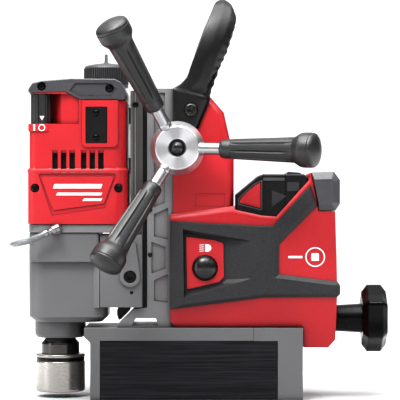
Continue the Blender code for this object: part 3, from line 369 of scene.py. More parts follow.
def piece(name, bm, look, body, stands_for=(), angle=35.0):
    """Make a piece from a millimetre mesh, smooth it up to ANGLE and let it ride on a body."""
    bmesh.ops.remove_doubles(bm, verts=bm.verts, dist=2e-3)
    bmesh.ops.recalc_face_normals(bm, faces=bm.faces)
    bmesh.ops.scale(bm, verts=bm.verts, vec=(MM, MM, MM))
    mesh = bpy.data.meshes.new(name)
    bm.to_mesh(mesh)
    bm.free()
    mesh.materials.append(LOOKS[look])
    mesh.shade_smooth()
    mesh.set_sharp_from_angle(angle=math.radians(angle))
    thing = placed(name, mesh)
    level = thing.modifiers.new("level", "WEIGHTED_NORMAL")
    level.keep_sharp = True
    level.weight = 50
    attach(thing, body)
    if stands_for:
        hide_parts(*stands_for)


def arc(a, b, radius, first, last, steps):
    """Points on a circle about (a, b), between two angles in degrees."""
    turns = [math.radians(first + (last - first) * k / steps) for k in range(steps + 1)]
    return [(a + radius * math.cos(t), b + radius * math.sin(t)) for t in turns]


def circle(a, b, radius, steps):
    return arc(a, b, radius, 0, 360 - 360 / steps, steps - 1)


def eased_corner(before, corner, after, reach_before, reach_after, steps):
    """Points on a curve that cuts a corner off, between the two lines that meet there."""
    start = corner + (before - corner).normalized() * reach_before
    end = corner + (after - corner).normalized() * reach_after
    turns = [j / steps for j in range(steps + 1)]
    return [tuple(start * (1 - t) ** 2 + corner * 2 * t * (1 - t) + end * t ** 2) for t in turns]


def rounded(outline, radius, steps=4):
    """The outline with every corner rounded by RADIUS, or less where its sides are short."""
    points = []
    spots = [Vector(spot) for spot in outline]
    for before, corner, after in zip(spots[-1:] + spots, spots, spots[1:] + spots[:1]):
        half = (before - corner).angle(after - corner) / 2
        reach = min(radius / max(math.tan(half), 0.05), (before - corner).length * 0.45,
                    (after - corner).length * 0.45)
        points += eased_corner(before, corner, after, reach, reach, steps)
    return points


def softened(profile, radius, steps=3):
    """Round the corners of an open (radius, distance) profile."""
    points = [profile[0]]
    spots = [Vector(spot) for spot in profile]
    for before, corner, after in zip(spots, spots[1:], spots[2:]):
        reach = min(radius, (before - corner).length * 0.45, (after - corner).length * 0.45)
        points += eased_corner(before, corner, after, reach, reach, steps)
    points.append(profile[-1])
    return points


def bevel(bm, edges, width, segments):
    bmesh.ops.bevel(bm, geom=edges, offset=width, segments=segments, profile=0.5, affect="EDGES",
                    clamp_overlap=True)


def prism(outline, low, high, axis="Y", edge=0.0, segments=2):
    """An outline extruded along an axis, with its rims rounded by EDGE."""
    turn = AXES[axis]
    bm = bmesh.new()
    face = bm.faces.new([bm.verts.new(turn @ Vector((a, b, low))) for a, b in outline])
    grown = bmesh.ops.extrude_face_region(bm, geom=[face])["geom"]
    moved = [part for part in grown if isinstance(part, bmesh.types.BMVert)]
    bmesh.ops.translate(bm, verts=moved, vec=turn @ Vector((0, 0, high - low)))
    if edge:
        at = "XYZ".index(axis)
        rims = [e for e in bm.edges
                if any(all(abs(v.co[at] - end) < 1e-3 for v in e.verts) for end in (low, high))]
        bevel(bm, rims, edge, segments)
    return bm


def slabbed(low, high, edge=0.0, segments=2):
    """A block between two corners with all its edges rounded."""
    bm = bmesh.new()
    bmesh.ops.create_cube(bm, size=1.0)
    bmesh.ops.scale(bm, verts=bm.verts, vec=Vector(high) - Vector(low))
    bmesh.ops.translate(bm, verts=bm.verts, vec=(Vector(high) + Vector(low)) / 2)
    if edge:
        bevel(bm, bm.edges[:], edge, segments)
    return bm


def skinned(bm, loops):
    """Faces between neighbouring loops of vertices. A loop of one vertex is a point."""
    count = max(len(loop) for loop in loops)
    for lower, upper in zip(loops, loops[1:]):
        for k in range(count):
            after = (k + 1) % count
            corners = [lower[k % len(lower)], lower[after % len(lower)],
                       upper[after % len(upper)], upper[k % len(upper)]]
            corners = list(dict.fromkeys(corners))
            if len(corners) > 2:
                bm.faces.new(corners)
    return bm


def loft(rings):
    """A solid through rings that have the same number of points."""
    bm = bmesh.new()
    loops = [[bm.verts.new(point) for point in ring] for ring in rings]
    skinned(bm, loops)
    bm.faces.new(loops[0])
    bm.faces.new(loops[-1])
    return bm


def lathe(profile, centre, along, steps=64, shape=None, start=None):
    """Spin (radius, distance) pairs about a line. SHAPE(radius, distance, turn) may change a radius."""
    along = Vector(along).normalized()
    across = (along.orthogonal() if start is None else Vector(start)).normalized()
    across = (across - along * across.dot(along)).normalized()
    other = along.cross(across)
    bm = bmesh.new()
    loops = []
    for radius, distance in profile:
        middle = Vector(centre) + along * distance
        if radius <= 1e-6:
            loops.append([bm.verts.new(middle)])
            continue
        loop = []
        for turn in [2 * math.pi * k / steps for k in range(steps)]:
            reach = shape(radius, distance, turn) if shape else radius
            loop.append(bm.verts.new(middle + (across * math.cos(turn) + other * math.sin(turn)) * reach))
        loops.append(loop)
    return skinned(bm, loops)


def cut(bm, *tools, operation="DIFFERENCE"):
    """Boolean a mesh with other meshes, all in millimetres."""
    things = []
    for source in (bm, *tools):
        bmesh.ops.recalc_face_normals(source, faces=source.faces)
        mesh = bpy.data.meshes.new("spare")
        source.to_mesh(mesh)
        source.free()
        things.append(placed("spare", mesh))
    for other in things[1:]:
        step = things[0].modifiers.new("step", "BOOLEAN")
        step.operation = operation
        step.solver = "EXACT"
        step.object = other
    bpy.context.view_layer.update()
    graph = bpy.context.evaluated_depsgraph_get()
    done = bmesh.new()
    done.from_mesh(things[0].evaluated_get(graph).to_mesh())
    for thing in things:
        mesh = thing.data
        bpy.data.objects.remove(thing)
        bpy.data.meshes.remove(mesh)
    return done


def ease(bm, radius, angle=30.0, segments=2):
    """Round the edges that are sharper than ANGLE."""
    bmesh.ops.dissolve_limit(bm, angle_limit=math.radians(0.4), verts=bm.verts, edges=bm.edges)
    sharp = [e for e in bm.edges if len(e.link_faces) == 2 and e.calc_face_angle() > math.radians(angle)]
    bevel(bm, sharp, radius, segments)
    return bm


def rod(a, b, radius, low, high, axis, steps=32, edge=0.0):
    return prism(circle(a, b, radius, steps), low, high, axis, edge)


def span(side, near, far):
    """Y limits on one side of the middle plane, in rising order."""
    return sorted((side * near, side * far))


def wall(side, x, y, z, edge=0.0):
    """A block on one side of the middle plane, between limits along X, Y and Z."""
    near, far = span(side, *y)
    return slabbed((x[0], near, z[0]), (x[1], far, z[1]), edge)


def washer(centre, inner, outer, height, out=(0, -1, 0), steps=48):
    """A flat ring standing on CENTRE and facing along OUT."""
    return lathe([(inner, 0), (outer, 0), (outer, height), (inner, height), (inner, 0)], centre, out, steps)


def screw_head(name, spot, out, radius, body="carriage"):
    """A domed screw head with a six-point socket, facing along OUT."""
    line = [(0, -1.2), (radius, -1.2), (radius, 0.2), (radius * 0.92, 0.8), (radius * 0.7, 1.2),
            (radius * 0.46, 1.3), (radius * 0.44, 1.2), (radius * 0.38, -0.6), (0, -0.8)]

    def star(reach, _, turn):
        return reach if reach > radius * 0.47 else reach * (1.0 + 0.12 * math.cos(6 * turn))
    piece(name, lathe(line, spot, out, 48, star), "oxide", body, angle=40)


# Feed hub and arms

FEED = Vector((-19.0, 0.0, 251.6))
ARM_ROOT = Vector((-19.0, -51.0, 251.6))
ARM_TILT = math.radians(24.0)
ARM_ANGLES = (-1.5, 118.5, 238.5)
GRIP_LINE = [(6.3, 47.8), (8.0, 48.0), (8.9, 48.8), (9.5, 50.6), (9.7, 53), (9.7, 58.6), (9.5, 59.4),
    (9.75, 60.2), (10.15, 61.2), *[(10.15 + 2.55 * k / 14, 61.2 + 64.3 * k / 14) for k in range(1, 15)],
    (13.4, 127.2), (15.0, 129.8), (16.4, 132.2), (17.0, 134.4), (17.15, 137), (17.2, 142.2),
    (17.05, 142.9), (16.7, 143.1), (16.7, 143.5), (17.0, 143.8), (16.9, 145), (16.2, 146.6),
    (14.6, 147.9), (12, 149), (8, 150.1), (4, 150.8), (0, 151)]
HUB_LINE = [(9.4, -45.6), (13.2, -45.6), (13.5, -46), (13.5, -50), (25.9, -50), (26.7, -50.4), (27.0, -51.3),
            (27.0, -54.6), (26.9, -55.2), (26.6, -55.9), (22.6, -64.4), (22.3, -65.0), (21.8, -65.8),
            (21.2, -66.25), (20.5, -66.45), (20.1, -66.45), (9.9, -66.45), (9.5, -66.45), (9.0, -66.2),
            (8.7, -65.6), (8.6, -65.0), (8.6, -61), (0, -61)]
FLUTE_START = 60.5
FLUTE_END = 125.5
FLUTE_HALF_WIDTH = 5.2


def arm_line(degrees):
    turn = math.radians(degrees)
    return Vector((math.cos(turn) * math.cos(ARM_TILT), -math.sin(ARM_TILT),
                   math.sin(turn) * math.cos(ARM_TILT)))


def flute(radius, distance, turn):
    """Eight narrow grooves along the middle of a grip."""
    near = (min(1.0, max(0.0, (distance - FLUTE_START) / 1.6))
            * min(1.0, max(0.0, (FLUTE_END - distance) / 2.5)))
    offset = (math.degrees(turn) - 13.0 + 22.5) % 45.0 - 22.5
    dip = max(0.0, 1.0 - (offset / FLUTE_HALF_WIDTH) ** 2)
    return radius - 1.15 * dip * near - 0.12 * near * (1 - math.cos(math.radians(offset * 8)))


def make_arms():
    rod_line = softened([(0, 15.6), (6.1, 15.6), (6.1, 24.5), (6.6, 25.5), (6.6, 29), (6.1, 30.5),
                         (6.1, 47), (5.2, 48), (5.2, 52), (0, 52)], 0.5)
    for number, degrees in enumerate(ARM_ANGLES, start=1):
        along = arm_line(degrees)
        piece("grip_%d" % number, lathe(GRIP_LINE, ARM_ROOT, along, 112, flute, (0, -1, 0)), "grip",
              "feed_hub", ["feed_grip_%d" % number], 50)
        piece("spoke_%d" % number, lathe(rod_line, ARM_ROOT, along, 48), "rod", "feed_hub",
              ["feed_rod_%d" % number])
    piece("hub_body", lathe(HUB_LINE, FEED, ACROSS, 128), "hub", "feed_hub", ["feed_hub"], 28)
    ring = softened([(6.5, -62), (6.5, -66.7), (8.1, -66.7), (8.1, -62)], 0.3)
    piece("hub_seal", lathe(ring, FEED, ACROSS), "black", "feed_hub")
    cap = [(0, -71.0), (1.6, -70.9), (3.2, -70.4), (4.5, -69.6), (5.5, -68.5), (6.1, -67.2), (6.3, -65.8),
           (6.3, -61.5), (0, -61.5)]
    piece("hub_dome", lathe(cap, FEED, ACROSS), "dome", "feed_hub", ["hub_cap"])


# Motor

SPLIT = 0.15
VENTS = [-144.2 + 8.6 * k for k in range(3)] + [-115.5 + 8.6 * k for k in range(3)]
# Height, both ends and depth of the motor case
MOTOR_LEVELS = ((176, -169.0, -69.0, 47.0), (226.6, -169.0, -69.0, 47.0), (228.4, -169.6, -68.4, 47.7),
                (230.2, -169.6, -68.4, 47.7), (232.4, -167.6, -70.6, 45.4), (312, -167.6, -70.6, 45.4))
COVER_SCREWS = (287.2, 262.6)
CAP_SCREWS = ((-155.0, 313.8), (-87, 311.8))
SWITCH = Vector((-156.0, -35.0, 0))
POINTER_ANGLE = 278


def half_outline(x0, x1, depth, left, right, side, steps=8):
    """Half of a rounded outline seen from above, from the split plane out to DEPTH."""
    corners = arc(x0 + left, depth - left, left, 180, 90, steps)
    corners += arc(x1 - right, depth - right, right, 90, 0, steps)
    return [(x0, side * SPLIT), *[(x, side * y) for x, y in corners], (x1, side * SPLIT)]


def motor_shell(side, tag):
    name = "shell_motor_" + tag
    body = loft([[(x, y, height) for x, y in half_outline(start, end, depth, 9, 13, side)]
                 for height, start, end, depth in MOTOR_LEVELS])
    if side < 0:
        frame_line = rounded([(-114.5, 304), (-114.5, 255.5), (-111.5, 252.6), (-81.5, 252.6),
                              (-78.2, 256), (-78.2, 304)], 1.5)
        ledge = rounded([(-168.6, -30), (-168.6, -40.8), (-164.6, -45.6), (-161.5, -46.7), (-149, -46.7),
                         (-146.5, -45), (-146.5, -30)], 1.0)
        body = cut(body, prism(frame_line, -47.6, -44, "Y", 0.9), prism(ledge, 268.6, 276.2, "Z", 0.5),
                   operation="UNION")
    cap_room = [(-180, 306.7), (-131, 307.7), (-115.5, 299.7), (-60, 299.7), (-60, 330), (-180, 330)]
    room = [(x, -side if abs(y) < 1 else y) for x, y in half_outline(-165.2, -74.0, 42.2, 6, 9, side, 4)]
    cuts = [prism(cap_room, *span(side, -2, 60)), prism(room, 171, 270, "Z"),
            wall(side, (-131, -76), (-1, 40.5), (260, 320))]
    for left in VENTS:
        ramp = [(side * 47.5, 226.8), (side * 47.5, 250.6), (side * 45.2, 250.0), (side * 43.4, 247.2),
                (side * 43.4, 231.2), (side * 45.6, 227.2)]
        cuts += [wall(side, (left, left + 5.4), (39, 60), (231.2, 247.2)),
                 prism(ramp, left - 0.1, left + 5.5, "X")]
    cuts += [rod(x, 212, radius, *span(side, 43.6, 60), "Y", 40)
             for x, radius in ((-161.5, 4.5), (-77.8, 4.7))]
    panel = rounded([(-158.5, 226.5), (-144.8, 184.2), (-91.5, 192.0), (-79.5, 226.5)], 2.5)
    cuts.append(prism(panel, *span(side, 45.7, 60)))
    if side < 0:
        corner = [(-180, -60), (-180, -21.5), (-146, -21.5), (-136.8, -39.6), (-133, -41.6), (-117.5, -43),
                  (-116.3, -60)]
        seat = rounded([(-110.9, 256.7), (-89.1, 256.7), (-89.1, 293.3), (-110.9, 293.3)], 1.0)
        cuts += [prism(corner, 276.2, 306.4, "Z"), prism(seat, -60, -45.6)]
    piece(name, ease(cut(body, *cuts), 0.7, 26, 3), "red", "carriage", ["motor_case_" + tag], 50)
    inner = rounded([(-156.0, 223.5), (-143.2, 189.5), (-92.3, 196.2), (-82.0, 223.5)], 2.0)
    raised = ease(prism(inner, *span(side, 45.0, 46.9)), 0.7, 40)
    piece(name + "_panel", raised, "red", "carriage")
    for end, x in (("front", -161.5), ("back", -77.8)):
        screw_head("%s_screw_%s" % (name, end), (x, side * 44.6, 212), (0, side, 0), 3.7)


def make_motor():
    for side, tag in SIDES:
        motor_shell(side, tag)
    # Painted shade: a dark sheet behind the vent slots, so the slots read as shaded inside.
    for side, tag in SIDES:
        piece("vent_shade_sheet_" + tag, wall(side, (-150, -86), (37.4, 38.2), (226, 252), 0.2), "void",
              "carriage")
    cover = prism(rounded([(-110.5, 257.1), (-89.5, 257.1), (-89.5, 292.9), (-110.5, 292.9)], 1.2),
                  -47.9, -45.9, "Y", 0.5)
    seats = [rod(-100.3, z, 3.5, -60, -47.1, "Y") for z in COVER_SCREWS]
    piece("cover_plate", cut(cover, *seats), "black", "carriage", ["motor_cover_plate"])
    for number, z in enumerate(COVER_SCREWS, start=1):
        screw_head("cover_screw_%d" % number, (-100.3, -47.2, z), (0, -1, 0), 2.9)
    piece("mark_on", slabbed((-163.1, -46.95, 269.3), (-161.2, -46.6, 275.5), 0.1), "white", "carriage")
    piece("mark_off", washer((-154.6, -46.6, 272.3), 2.5, 3.5, 0.3), "white", "carriage")
    stripes = ((-143.5, 211.5, 216.0), (-140.5, 204.6, 207.4), (-114.0, 199.0, 201.6))
    for number, (left, low, high) in enumerate(stripes, start=1):
        bar = prism([(left, low), (-95.5, low), (-93.9, high), (left + 1.6, high)], -47.15, -46.8, "Y", 0.1)
        piece("panel_stripe_%d" % number, bar, "white", "carriage")


def make_top_cap():
    outline = [(-168.3, 307.2), (-168.3, 311), (-164, 317.3), (-155, 319.4), (-126, 321.6), (-82, 321.2),
               (-75.5, 318), (-71, 310), (-70.2, 300), (-115.4, 300), (-130.9, 308)]
    cap = prism(rounded(outline, 5.0, 6), -45.6, 45.6, "Y", 3.4, 4)
    ridge = rounded([(-127.5, 309.6), (-121.0, 317.2), (-88, 317.2), (-80.2, 311.5), (-85, 303.8),
                     (-117, 303.8)], 1.6)
    cuts = [prism(ridge, -60, -44.2), prism(ridge, 44.2, 60), slabbed((-160, -40, 290), (-78, 40, 315.5))]
    cuts += [rod(x, z, 4.5, *span(side, 41.2, 60), "Y", 40) for side, _ in SIDES for x, z in CAP_SCREWS]
    piece("cap_top", ease(cut(cap, *cuts), 0.5, 30), "grey", "carriage", ["motor_top_cap"], 45)
    for side, tag in SIDES:
        for number, (x, z) in enumerate(CAP_SCREWS, start=1):
            screw_head("cap_screw_%s_%d" % (tag, number), (x, side * 42.2, z), (0, side, 0), 3.6)


def make_switch():
    """The rotary switch: a fluted drum with a raised flat strip that carries the pointer."""
    outline = []
    for degrees in range(0, 360, 2):
        away = (degrees - POINTER_ANGLE + 180) % 360 - 180
        if abs(away) < 17:
            radius = 10.25 / math.cos(math.radians(away)) - 0.05
        elif abs(away) < 22:
            radius = 9.3
        else:
            radius = 9.9 + 0.35 * math.cos(math.radians(away * 12))
        turn = math.radians(degrees)
        outline.append((SWITCH.x + radius * math.cos(turn), SWITCH.y + radius * math.sin(turn)))
    piece("switch_drum", prism(outline, 276.7, 305.8, "Z", 0.4), "grip", "power_switch",
          ["power_switch"], 30)
    turn = math.radians(POINTER_ANGLE)
    out = Vector((math.cos(turn), math.sin(turn), 0))
    along = Vector((-out.y, out.x, 0))
    rings = [[SWITCH + out * reach + along * a + Vector((0, 0, z))
              for a, z in ((-2.4, 284.0), (2.4, 284.0), (0, 279.6))] for reach in (10.40, 10.08)]
    piece("switch_pointer", loft(rings), "white", "power_switch")


# Gear case and chuck

CHUCK = Vector((-139.1, 0, 0))


def oval(x0, x1, half, left, right, inset=0.0, steps=14):
    """A rounded outline seen from above, symmetrical about the middle plane."""
    side = arc(x0 + inset + left, half - inset - left, left, 180, 90, steps)
    side += arc(x1 - inset - right, half - inset - right, right, 90, 0, steps)
    return side + [(x, -y) for x, y in reversed(side)]


def make_gear_case():
    lower = loft([[(x, y, height) for x, y in oval(-169.0, -89.5, 38, 17, 16, inset)]
                  for height, inset in ((77.0, 6.2), (82.6, 0.0), (139.0, 0.0))])
    upper = prism(oval(-168.5, -97.5, 44, 16, 3, steps=10), 138.0, 167.0, "Z", 0.8)
    ears = prism([(-112, -37), (-104.5, -37), (-97.5, -42), (-97.5, 42), (-104.5, 37), (-112, 37)], 92, 140,
                 "Z")
    room = slabbed((-97.5, -60, 91.7), (-60, 60, 200))
    bore = rod(CHUCK.x, 0, 12, 60, 95, "Z", 48)
    hollow = prism(oval(-162.3, -101.5, 33.5, 24, 10, steps=6), 88, 163, "Z")
    body = cut(cut(lower, upper, ears, operation="UNION"), room, bore, hollow)
    piece("case_gears", ease(body, 0.8, 30, 3), "cast", "carriage", ["gear_case"], 40)
    flange = prism(oval(-168.5, -71.5, 45.5, 14, 8, steps=10), 167.3, 175.7, "Z", 0.8)
    # The flange takes the lighter copy of the cast grey: painted light.
    piece("case_flange", cut(flange, rod(-119, 0, 7, 150, 190, "Z")), "column", "carriage", ["motor_flange"])
    nose = softened([(20.5, 77.8), (20.5, 60.2), (23.6, 60.2), (25.9, 62.8), (25.9, 77.9)], 0.9)
    ring = lathe(nose + [(20.5, 78.0), (20.5, 77.8)], CHUCK, UP, 96)
    piece("case_nose", ring, "cast", "carriage", ["spindle_nose"])


def make_chuck():
    body = softened([(0, 59.9), (15.4, 59.9), (15.6, 58.6), (19.2, 54.6), (19.4, 53.6), (19.4, 43.0),
                     (19.0, 42.4), (19.0, 9), (12.2, 9), (9.55, 10.6), (9.55, 42), (0, 42)], 0.5)
    piece("chuck_core", lathe(body, CHUCK, UP, 80), "neck", "spindle", ["chuck_body"], 28)
    sleeve = softened([(19.7, 43.2), (20.2, 44.0), (24.2, 43.4), (25.0, 42.6), (25.1, 41.2), (24.9, 40.4),
                       (24.2, 39.9), (24.2, 36.4), (24.9, 35.9), (25.1, 35.2), (25.1, 8.0), (24.5, 5.9),
                       (23.2, 5.2), (20.4, 5.2), (19.7, 6.0), (19.7, 43.2)], 0.3)
    piece("chuck_collar", lathe(sleeve, CHUCK, UP, 96), "sleeve", "sleeve", ["chuck_sleeve"])
    band = [(24.25, 36.5), (24.7, 36.7), (24.7, 39.6), (24.25, 39.8), (23.9, 38.2), (24.25, 36.5)]
    piece("chuck_band", lathe(band, CHUCK, UP, 96), "oxide", "sleeve")


# Knob

KNOB = Vector((0, 0, 79.3))
KNOB_STEPS = 144


def make_knob():
    """A six-sided knob with soft edges, on a tapered neck."""
    rings = []
    for along, scale in ((167.9, 0.10), (168.0, 0.72), (168.3, 0.79), (173.4, 0.985), (174.4, 1.0),
                         (187.4, 1.0), (188.4, 0.985), (193.2, 0.80), (193.7, 0.73), (193.7, 0.10)):
        ring = []
        for turn in [2 * math.pi * k / KNOB_STEPS for k in range(KNOB_STEPS)]:
            off_face = (turn + math.pi / 6) % (math.pi / 3) - math.pi / 6
            flat = 30.0 / math.cos(off_face)
            reach = scale * (min(flat, 34.1) - 0.7 * math.cos(3 * off_face) ** 2 * (flat < 33.4))
            ring.append((along, reach * math.cos(turn), KNOB.z + reach * math.sin(turn)))
        rings.append(ring)
    neck_line = softened([(0, 141.4), (13.2, 141.4), (13.4, 142.6), (14.9, 167.4), (15.6, 171), (0, 171)],
        0.6)
    body = cut(loft(rings), lathe(neck_line, KNOB, (1, 0, 0)), operation="UNION")
    body = cut(body, rod(0, KNOB.z, 7.3, 135, 148.4, "X"))
    piece("knob_rear", body, "knob", "knob", ["magnet_knob"], 20)


# Housing and battery

LOWER_SIDE = [(-26.1, 78), (-20.5, 73), (107.2, 73), (107.8, 51.5), (132.5, 51.5), (139.5, 59.5),
              (140.5, 102), (140.5, 120), (138.7, 188.7), (121.9, 188.7), (114.4, 227.2),
              (78.5, 187), (65.5, 188), (37.5, 194), (-26.1, 186)]
TOWER_SIDE = [(-23.5, 180), (37.5, 180), (37.5, 243), (27.5, 288), (14.5, 303), (-23.5, 311.6)]
SKIN_SIDE = [(-26.1, 179), (76.5, 174), (113.5, 215), (120.5, 194), (82.5, 155.5), (82.5, 126),
             (132.5, 119.5), (140.5, 119), (143.5, 114.5), (143.5, 106), (140.5, 103),
             (67.1, 102.5), (-26.1, 90.6)]
# How far each edge of the skin's flat face stands back from the skin's own edge
SKIN_SLOPES = [1.4, 1.4, 1.0, 4.6, 4.6, 4.2, 4.2, 2.2, 1.6, 2.2, 3.4, 3.4, 12.0]
RECESS_MOUTH = [(-13.5, 171), (55.5, 159), (55.5, 122), (43.5, 118), (-12.5, 102.5)]
RECESS_FLOOR = [(-11.8, 166), (30, 160.5), (30, 120.5), (25, 116), (-11.8, 107.5)]
CAP_SIDE = [(114.9, 227.6), (137.5, 228.3), (143.5, 220), (143.5, 196), (138.8, 189.1), (122.3, 189.1)]
CAP_SLOPES = [7.6, 6.4, 6.4, 6.4, 6.4, 1.2]
# Hollows of each housing half: a side view, and how far they reach from the middle plane
HOUSING_ROOMS = (([(-40, 150), (5, 150), (5, 301), (-40, 320)], 35.5),
                 ([(-10, 150), (33.5, 150), (33.5, 241.5), (23.8, 285.6), (11, 299), (-10, 303)], 31.5),
                 ([(-40, 76), (36, 76), (36, 180), (-40, 180)], 37.0),
                 ([(-40, 60), (0.6, 60), (0.6, 190), (-40, 190)], 36.6),
                 ([(38.5, 100), (112.4, 100), (112.4, 240), (38.5, 240)], 42.0),
                 ([(60, 76.2), (120, 76.2), (120, 97.5), (60, 97.5)], 37.0))
LIGHT_BUTTON = (8.5, 132)
HANDLE_BOLT = (-5.5, 290)
LATCH_WINDOW = [(42.9, 196.4), (64.8, 190.8), (64.8, 218.4), (58, 214.9), (51.7, 209.7), (46.4, 204.7),
                (42.9, 200.6)]
LATCH_SIDE = [(43.4, 197.1), (64.2, 191.8), (64.2, 217.6), (58.4, 214.3), (52.1, 209.2), (46.9, 204.3),
              (43.4, 200.3)]


def inset(outline, widths):
    """Move every side of an outline inwards by its own width, or by the same width if one is given."""
    count = len(outline)
    widths = widths if isinstance(widths, list) else [widths] * count
    turn = sum(a[0] * b[1] - b[0] * a[1] for a, b in zip(outline, outline[1:] + outline[:1]))
    sign = 1.0 if turn > 0 else -1.0
    lines = []
    for k in range(count):
        a, b = Vector(outline[k]), Vector(outline[(k + 1) % count])
        along = (b - a).normalized()
        lines.append((a + Vector((-along.y, along.x)) * sign * widths[k], along))
    points = []
    for (p, u), (q, v) in zip(lines[-1:] + lines, lines):
        cross = u.x * v.y - u.y * v.x
        reach = ((q.x - p.x) * v.y - (q.y - p.y) * v.x) / cross if abs(cross) > 1e-4 else None
        points.append(tuple(q if reach is None else p + u * reach))
    return points


def flat_ring(outline, depth):
    return [(x, depth, z) for x, z in outline]


def block_outline(x0, x1, z0, z1, radius):
    return rounded([(x0, z0), (x1, z0), (x1, z1), (x0, z1)], radius)


def chamfered(outline, side, outer, width, wanted):
    """An outline extruded to one side, with the wanted edges of its outer face cut back."""
    bm = prism(outline, *span(side, SPLIT, outer))
    chosen = [e for e in bm.edges if all(abs(v.co.y - side * outer) < 0.01 for v in e.verts)
              and wanted((e.verts[0].co + e.verts[1].co) / 2)]
    bevel(bm, chosen, width, 1)
    return bm


def make_housing_half(side, tag):
    lower = chamfered(LOWER_SIDE, side, 46.0, 7.5, lambda spot: spot.z > 183 and spot.x < 112)
    bmesh.ops.bisect_plane(lower, geom=lower.verts[:] + lower.edges[:] + lower.faces[:],
                           plane_co=(0, 0, 102.0), plane_no=UP)
    for vert in lower.verts:
        if abs(vert.co.y) > 20 and vert.co.z < 102:
            vert.co.y = side * (46.0 - (102.0 - vert.co.z) * 0.26)
    tower = chamfered(TOWER_SIDE, side, 38.0, 7.0, lambda spot: spot.x > 15 and spot.z > 182)
    cuts = [prism(outline, *span(side, -1, depth)) for outline, depth in HOUSING_ROOMS]
    cuts += [rod(0, KNOB.z, 9.2, 80, 150, "X", 40), slabbed((85.8, -18.2, 70), (100.2, 18.2, 80)),
             rod(FEED.x, FEED.z, 12.5, *span(side, 30, 60), "Y", 56),
             rod(*HANDLE_BOLT, 4.4, *span(side, 30, 60), "Y"),
             prism(block_outline(-1.5, 28.5, 193.4, 206.8, 1.2), *span(side, 37.3, 60))]
    if side < 0:
        cuts.append(loft([flat_ring(inset(RECESS_MOUTH, -3.6), -48.2),
                          flat_ring(inset(RECESS_FLOOR, -3.6), -40.4)]))
    body = ease(cut(cut(lower, tower, operation="UNION"), *cuts), 0.8, 20, 3)
    piece("case_rear_" + tag, body, "red", "stand", ["housing_" + tag], 50)
    if side > 0:
        plain = rounded([(-12, 112), (27, 121), (27, 158), (-12, 165)], 3)
        piece("plain_panel", ease(prism(plain, 46.2, 50.2), 0.5, 40), "red", "stand")


def make_skin_half(side, tag):
    skin = loft([flat_ring(SKIN_SIDE, side * 46.3), flat_ring(SKIN_SIDE, side * 46.7),
                 flat_ring(inset(SKIN_SIDE, SKIN_SLOPES), side * 49.5)])
    wrap = prism([(140.8, 104), (143.5, 106), (143.5, 114.5), (140.8, 118)], *span(side, SPLIT, 47.5))
    body = cut(skin, wrap, operation="UNION")
    if side < 0:
        cup = loft([flat_ring(inset(RECESS_MOUTH, -1.6), -47.5),
                    flat_ring(inset(RECESS_FLOOR, -1.6), -40.9)])
        well = loft([flat_ring(inset(RECESS_MOUTH, -0.15), -49.9), flat_ring(RECESS_FLOOR, -42.7)])
        body = cut(cut(body, cup, operation="UNION"), well, rod(*LIGHT_BUTTON, 13.3, -60, -39, "Y", 56))
    piece("skin_" + tag, ease(body, 0.7, 9, 3), "skin", "stand", ["grip_skin_" + tag], 60)


def make_housing():
    for side, tag in SIDES:
        make_housing_half(side, tag)
        make_skin_half(side, tag)
    panel = rounded([(-10.5, 163.5), (18.5, 160), (27, 156.5), (27.5, 123), (23, 118), (-9.5, 110.5)], 1.6)
    plate = cut(prism(panel, -44.5, -43.0, "Y", 0.5), rod(*LIGHT_BUTTON, 13.0, -50, -40, "Y", 64))
    piece("panel_light", plate, "red", "stand", ["light_switch_panel"], 45)
    dome = [(0, -51.0), (2.6, -50.9), (5.4, -50.4), (7.8, -49.5), (9.9, -48.2), (11.4, -46.7), (12.3, -45.2),
            (12.6, -44.2), (12.6, -43.4), (0, -43.4)]
    piece("button_dome", lathe(dome, (LIGHT_BUTTON[0], 0, LIGHT_BUTTON[1]), ACROSS, 72), "dome",
          "light_button", ["light_button"], 50)
    lamp = [(8.6, 148.2), (11.0, 148.2)] + arc(11.0, 152.0, 3.8, -90, 90, 14) + [(8.6, 155.8)]
    piece("icon_lamp", prism(lamp, -44.75, -44.45, "Y", 0.05), "white", "stand")
    for number in range(4):
        height = 148.9 + 2.07 * number
        beam = [(2.9, height - 0.55), (7.4, height - 0.2), (7.4, height + 0.5), (2.9, height + 0.15)]
        piece("icon_beam_%d" % (number + 1), prism(beam, -44.75, -44.45, "Y"), "white", "stand")
    for side, tag in SIDES:
        ring = washer((118.6, side * 46.0, 143.0), 8.6, 9.9, 0.3, (0, side, 0), 64)
        piece("mark_ring_" + tag, ring, "white", "stand")
        for mark, limits in (("square", (114.8, 122.4, 139.2, 146.8)), ("bar", (91.5, 106.0, 141.8, 144.2))):
            flat = prism(block_outline(*limits, 0.8), *span(side, 45.9, 46.3))
            piece("mark_%s_%s" % (mark, tag), flat, "white", "stand")
    outer = inset(CAP_SIDE, CAP_SLOPES)
    cap = loft([flat_ring(outer, -49.5), flat_ring(CAP_SIDE, -45.6), flat_ring(CAP_SIDE, 45.6),
                flat_ring(outer, 49.5)])
    hole = [(121, 224), (136, 224), (139.5, 219), (139.5, 197), (136, 185), (125, 185)]
    piece("bumper_cap", ease(cut(cap, prism(hole, -44, 44)), 0.8, 12, 3), "grey", "stand",
          ["rear_bumper"], 60)


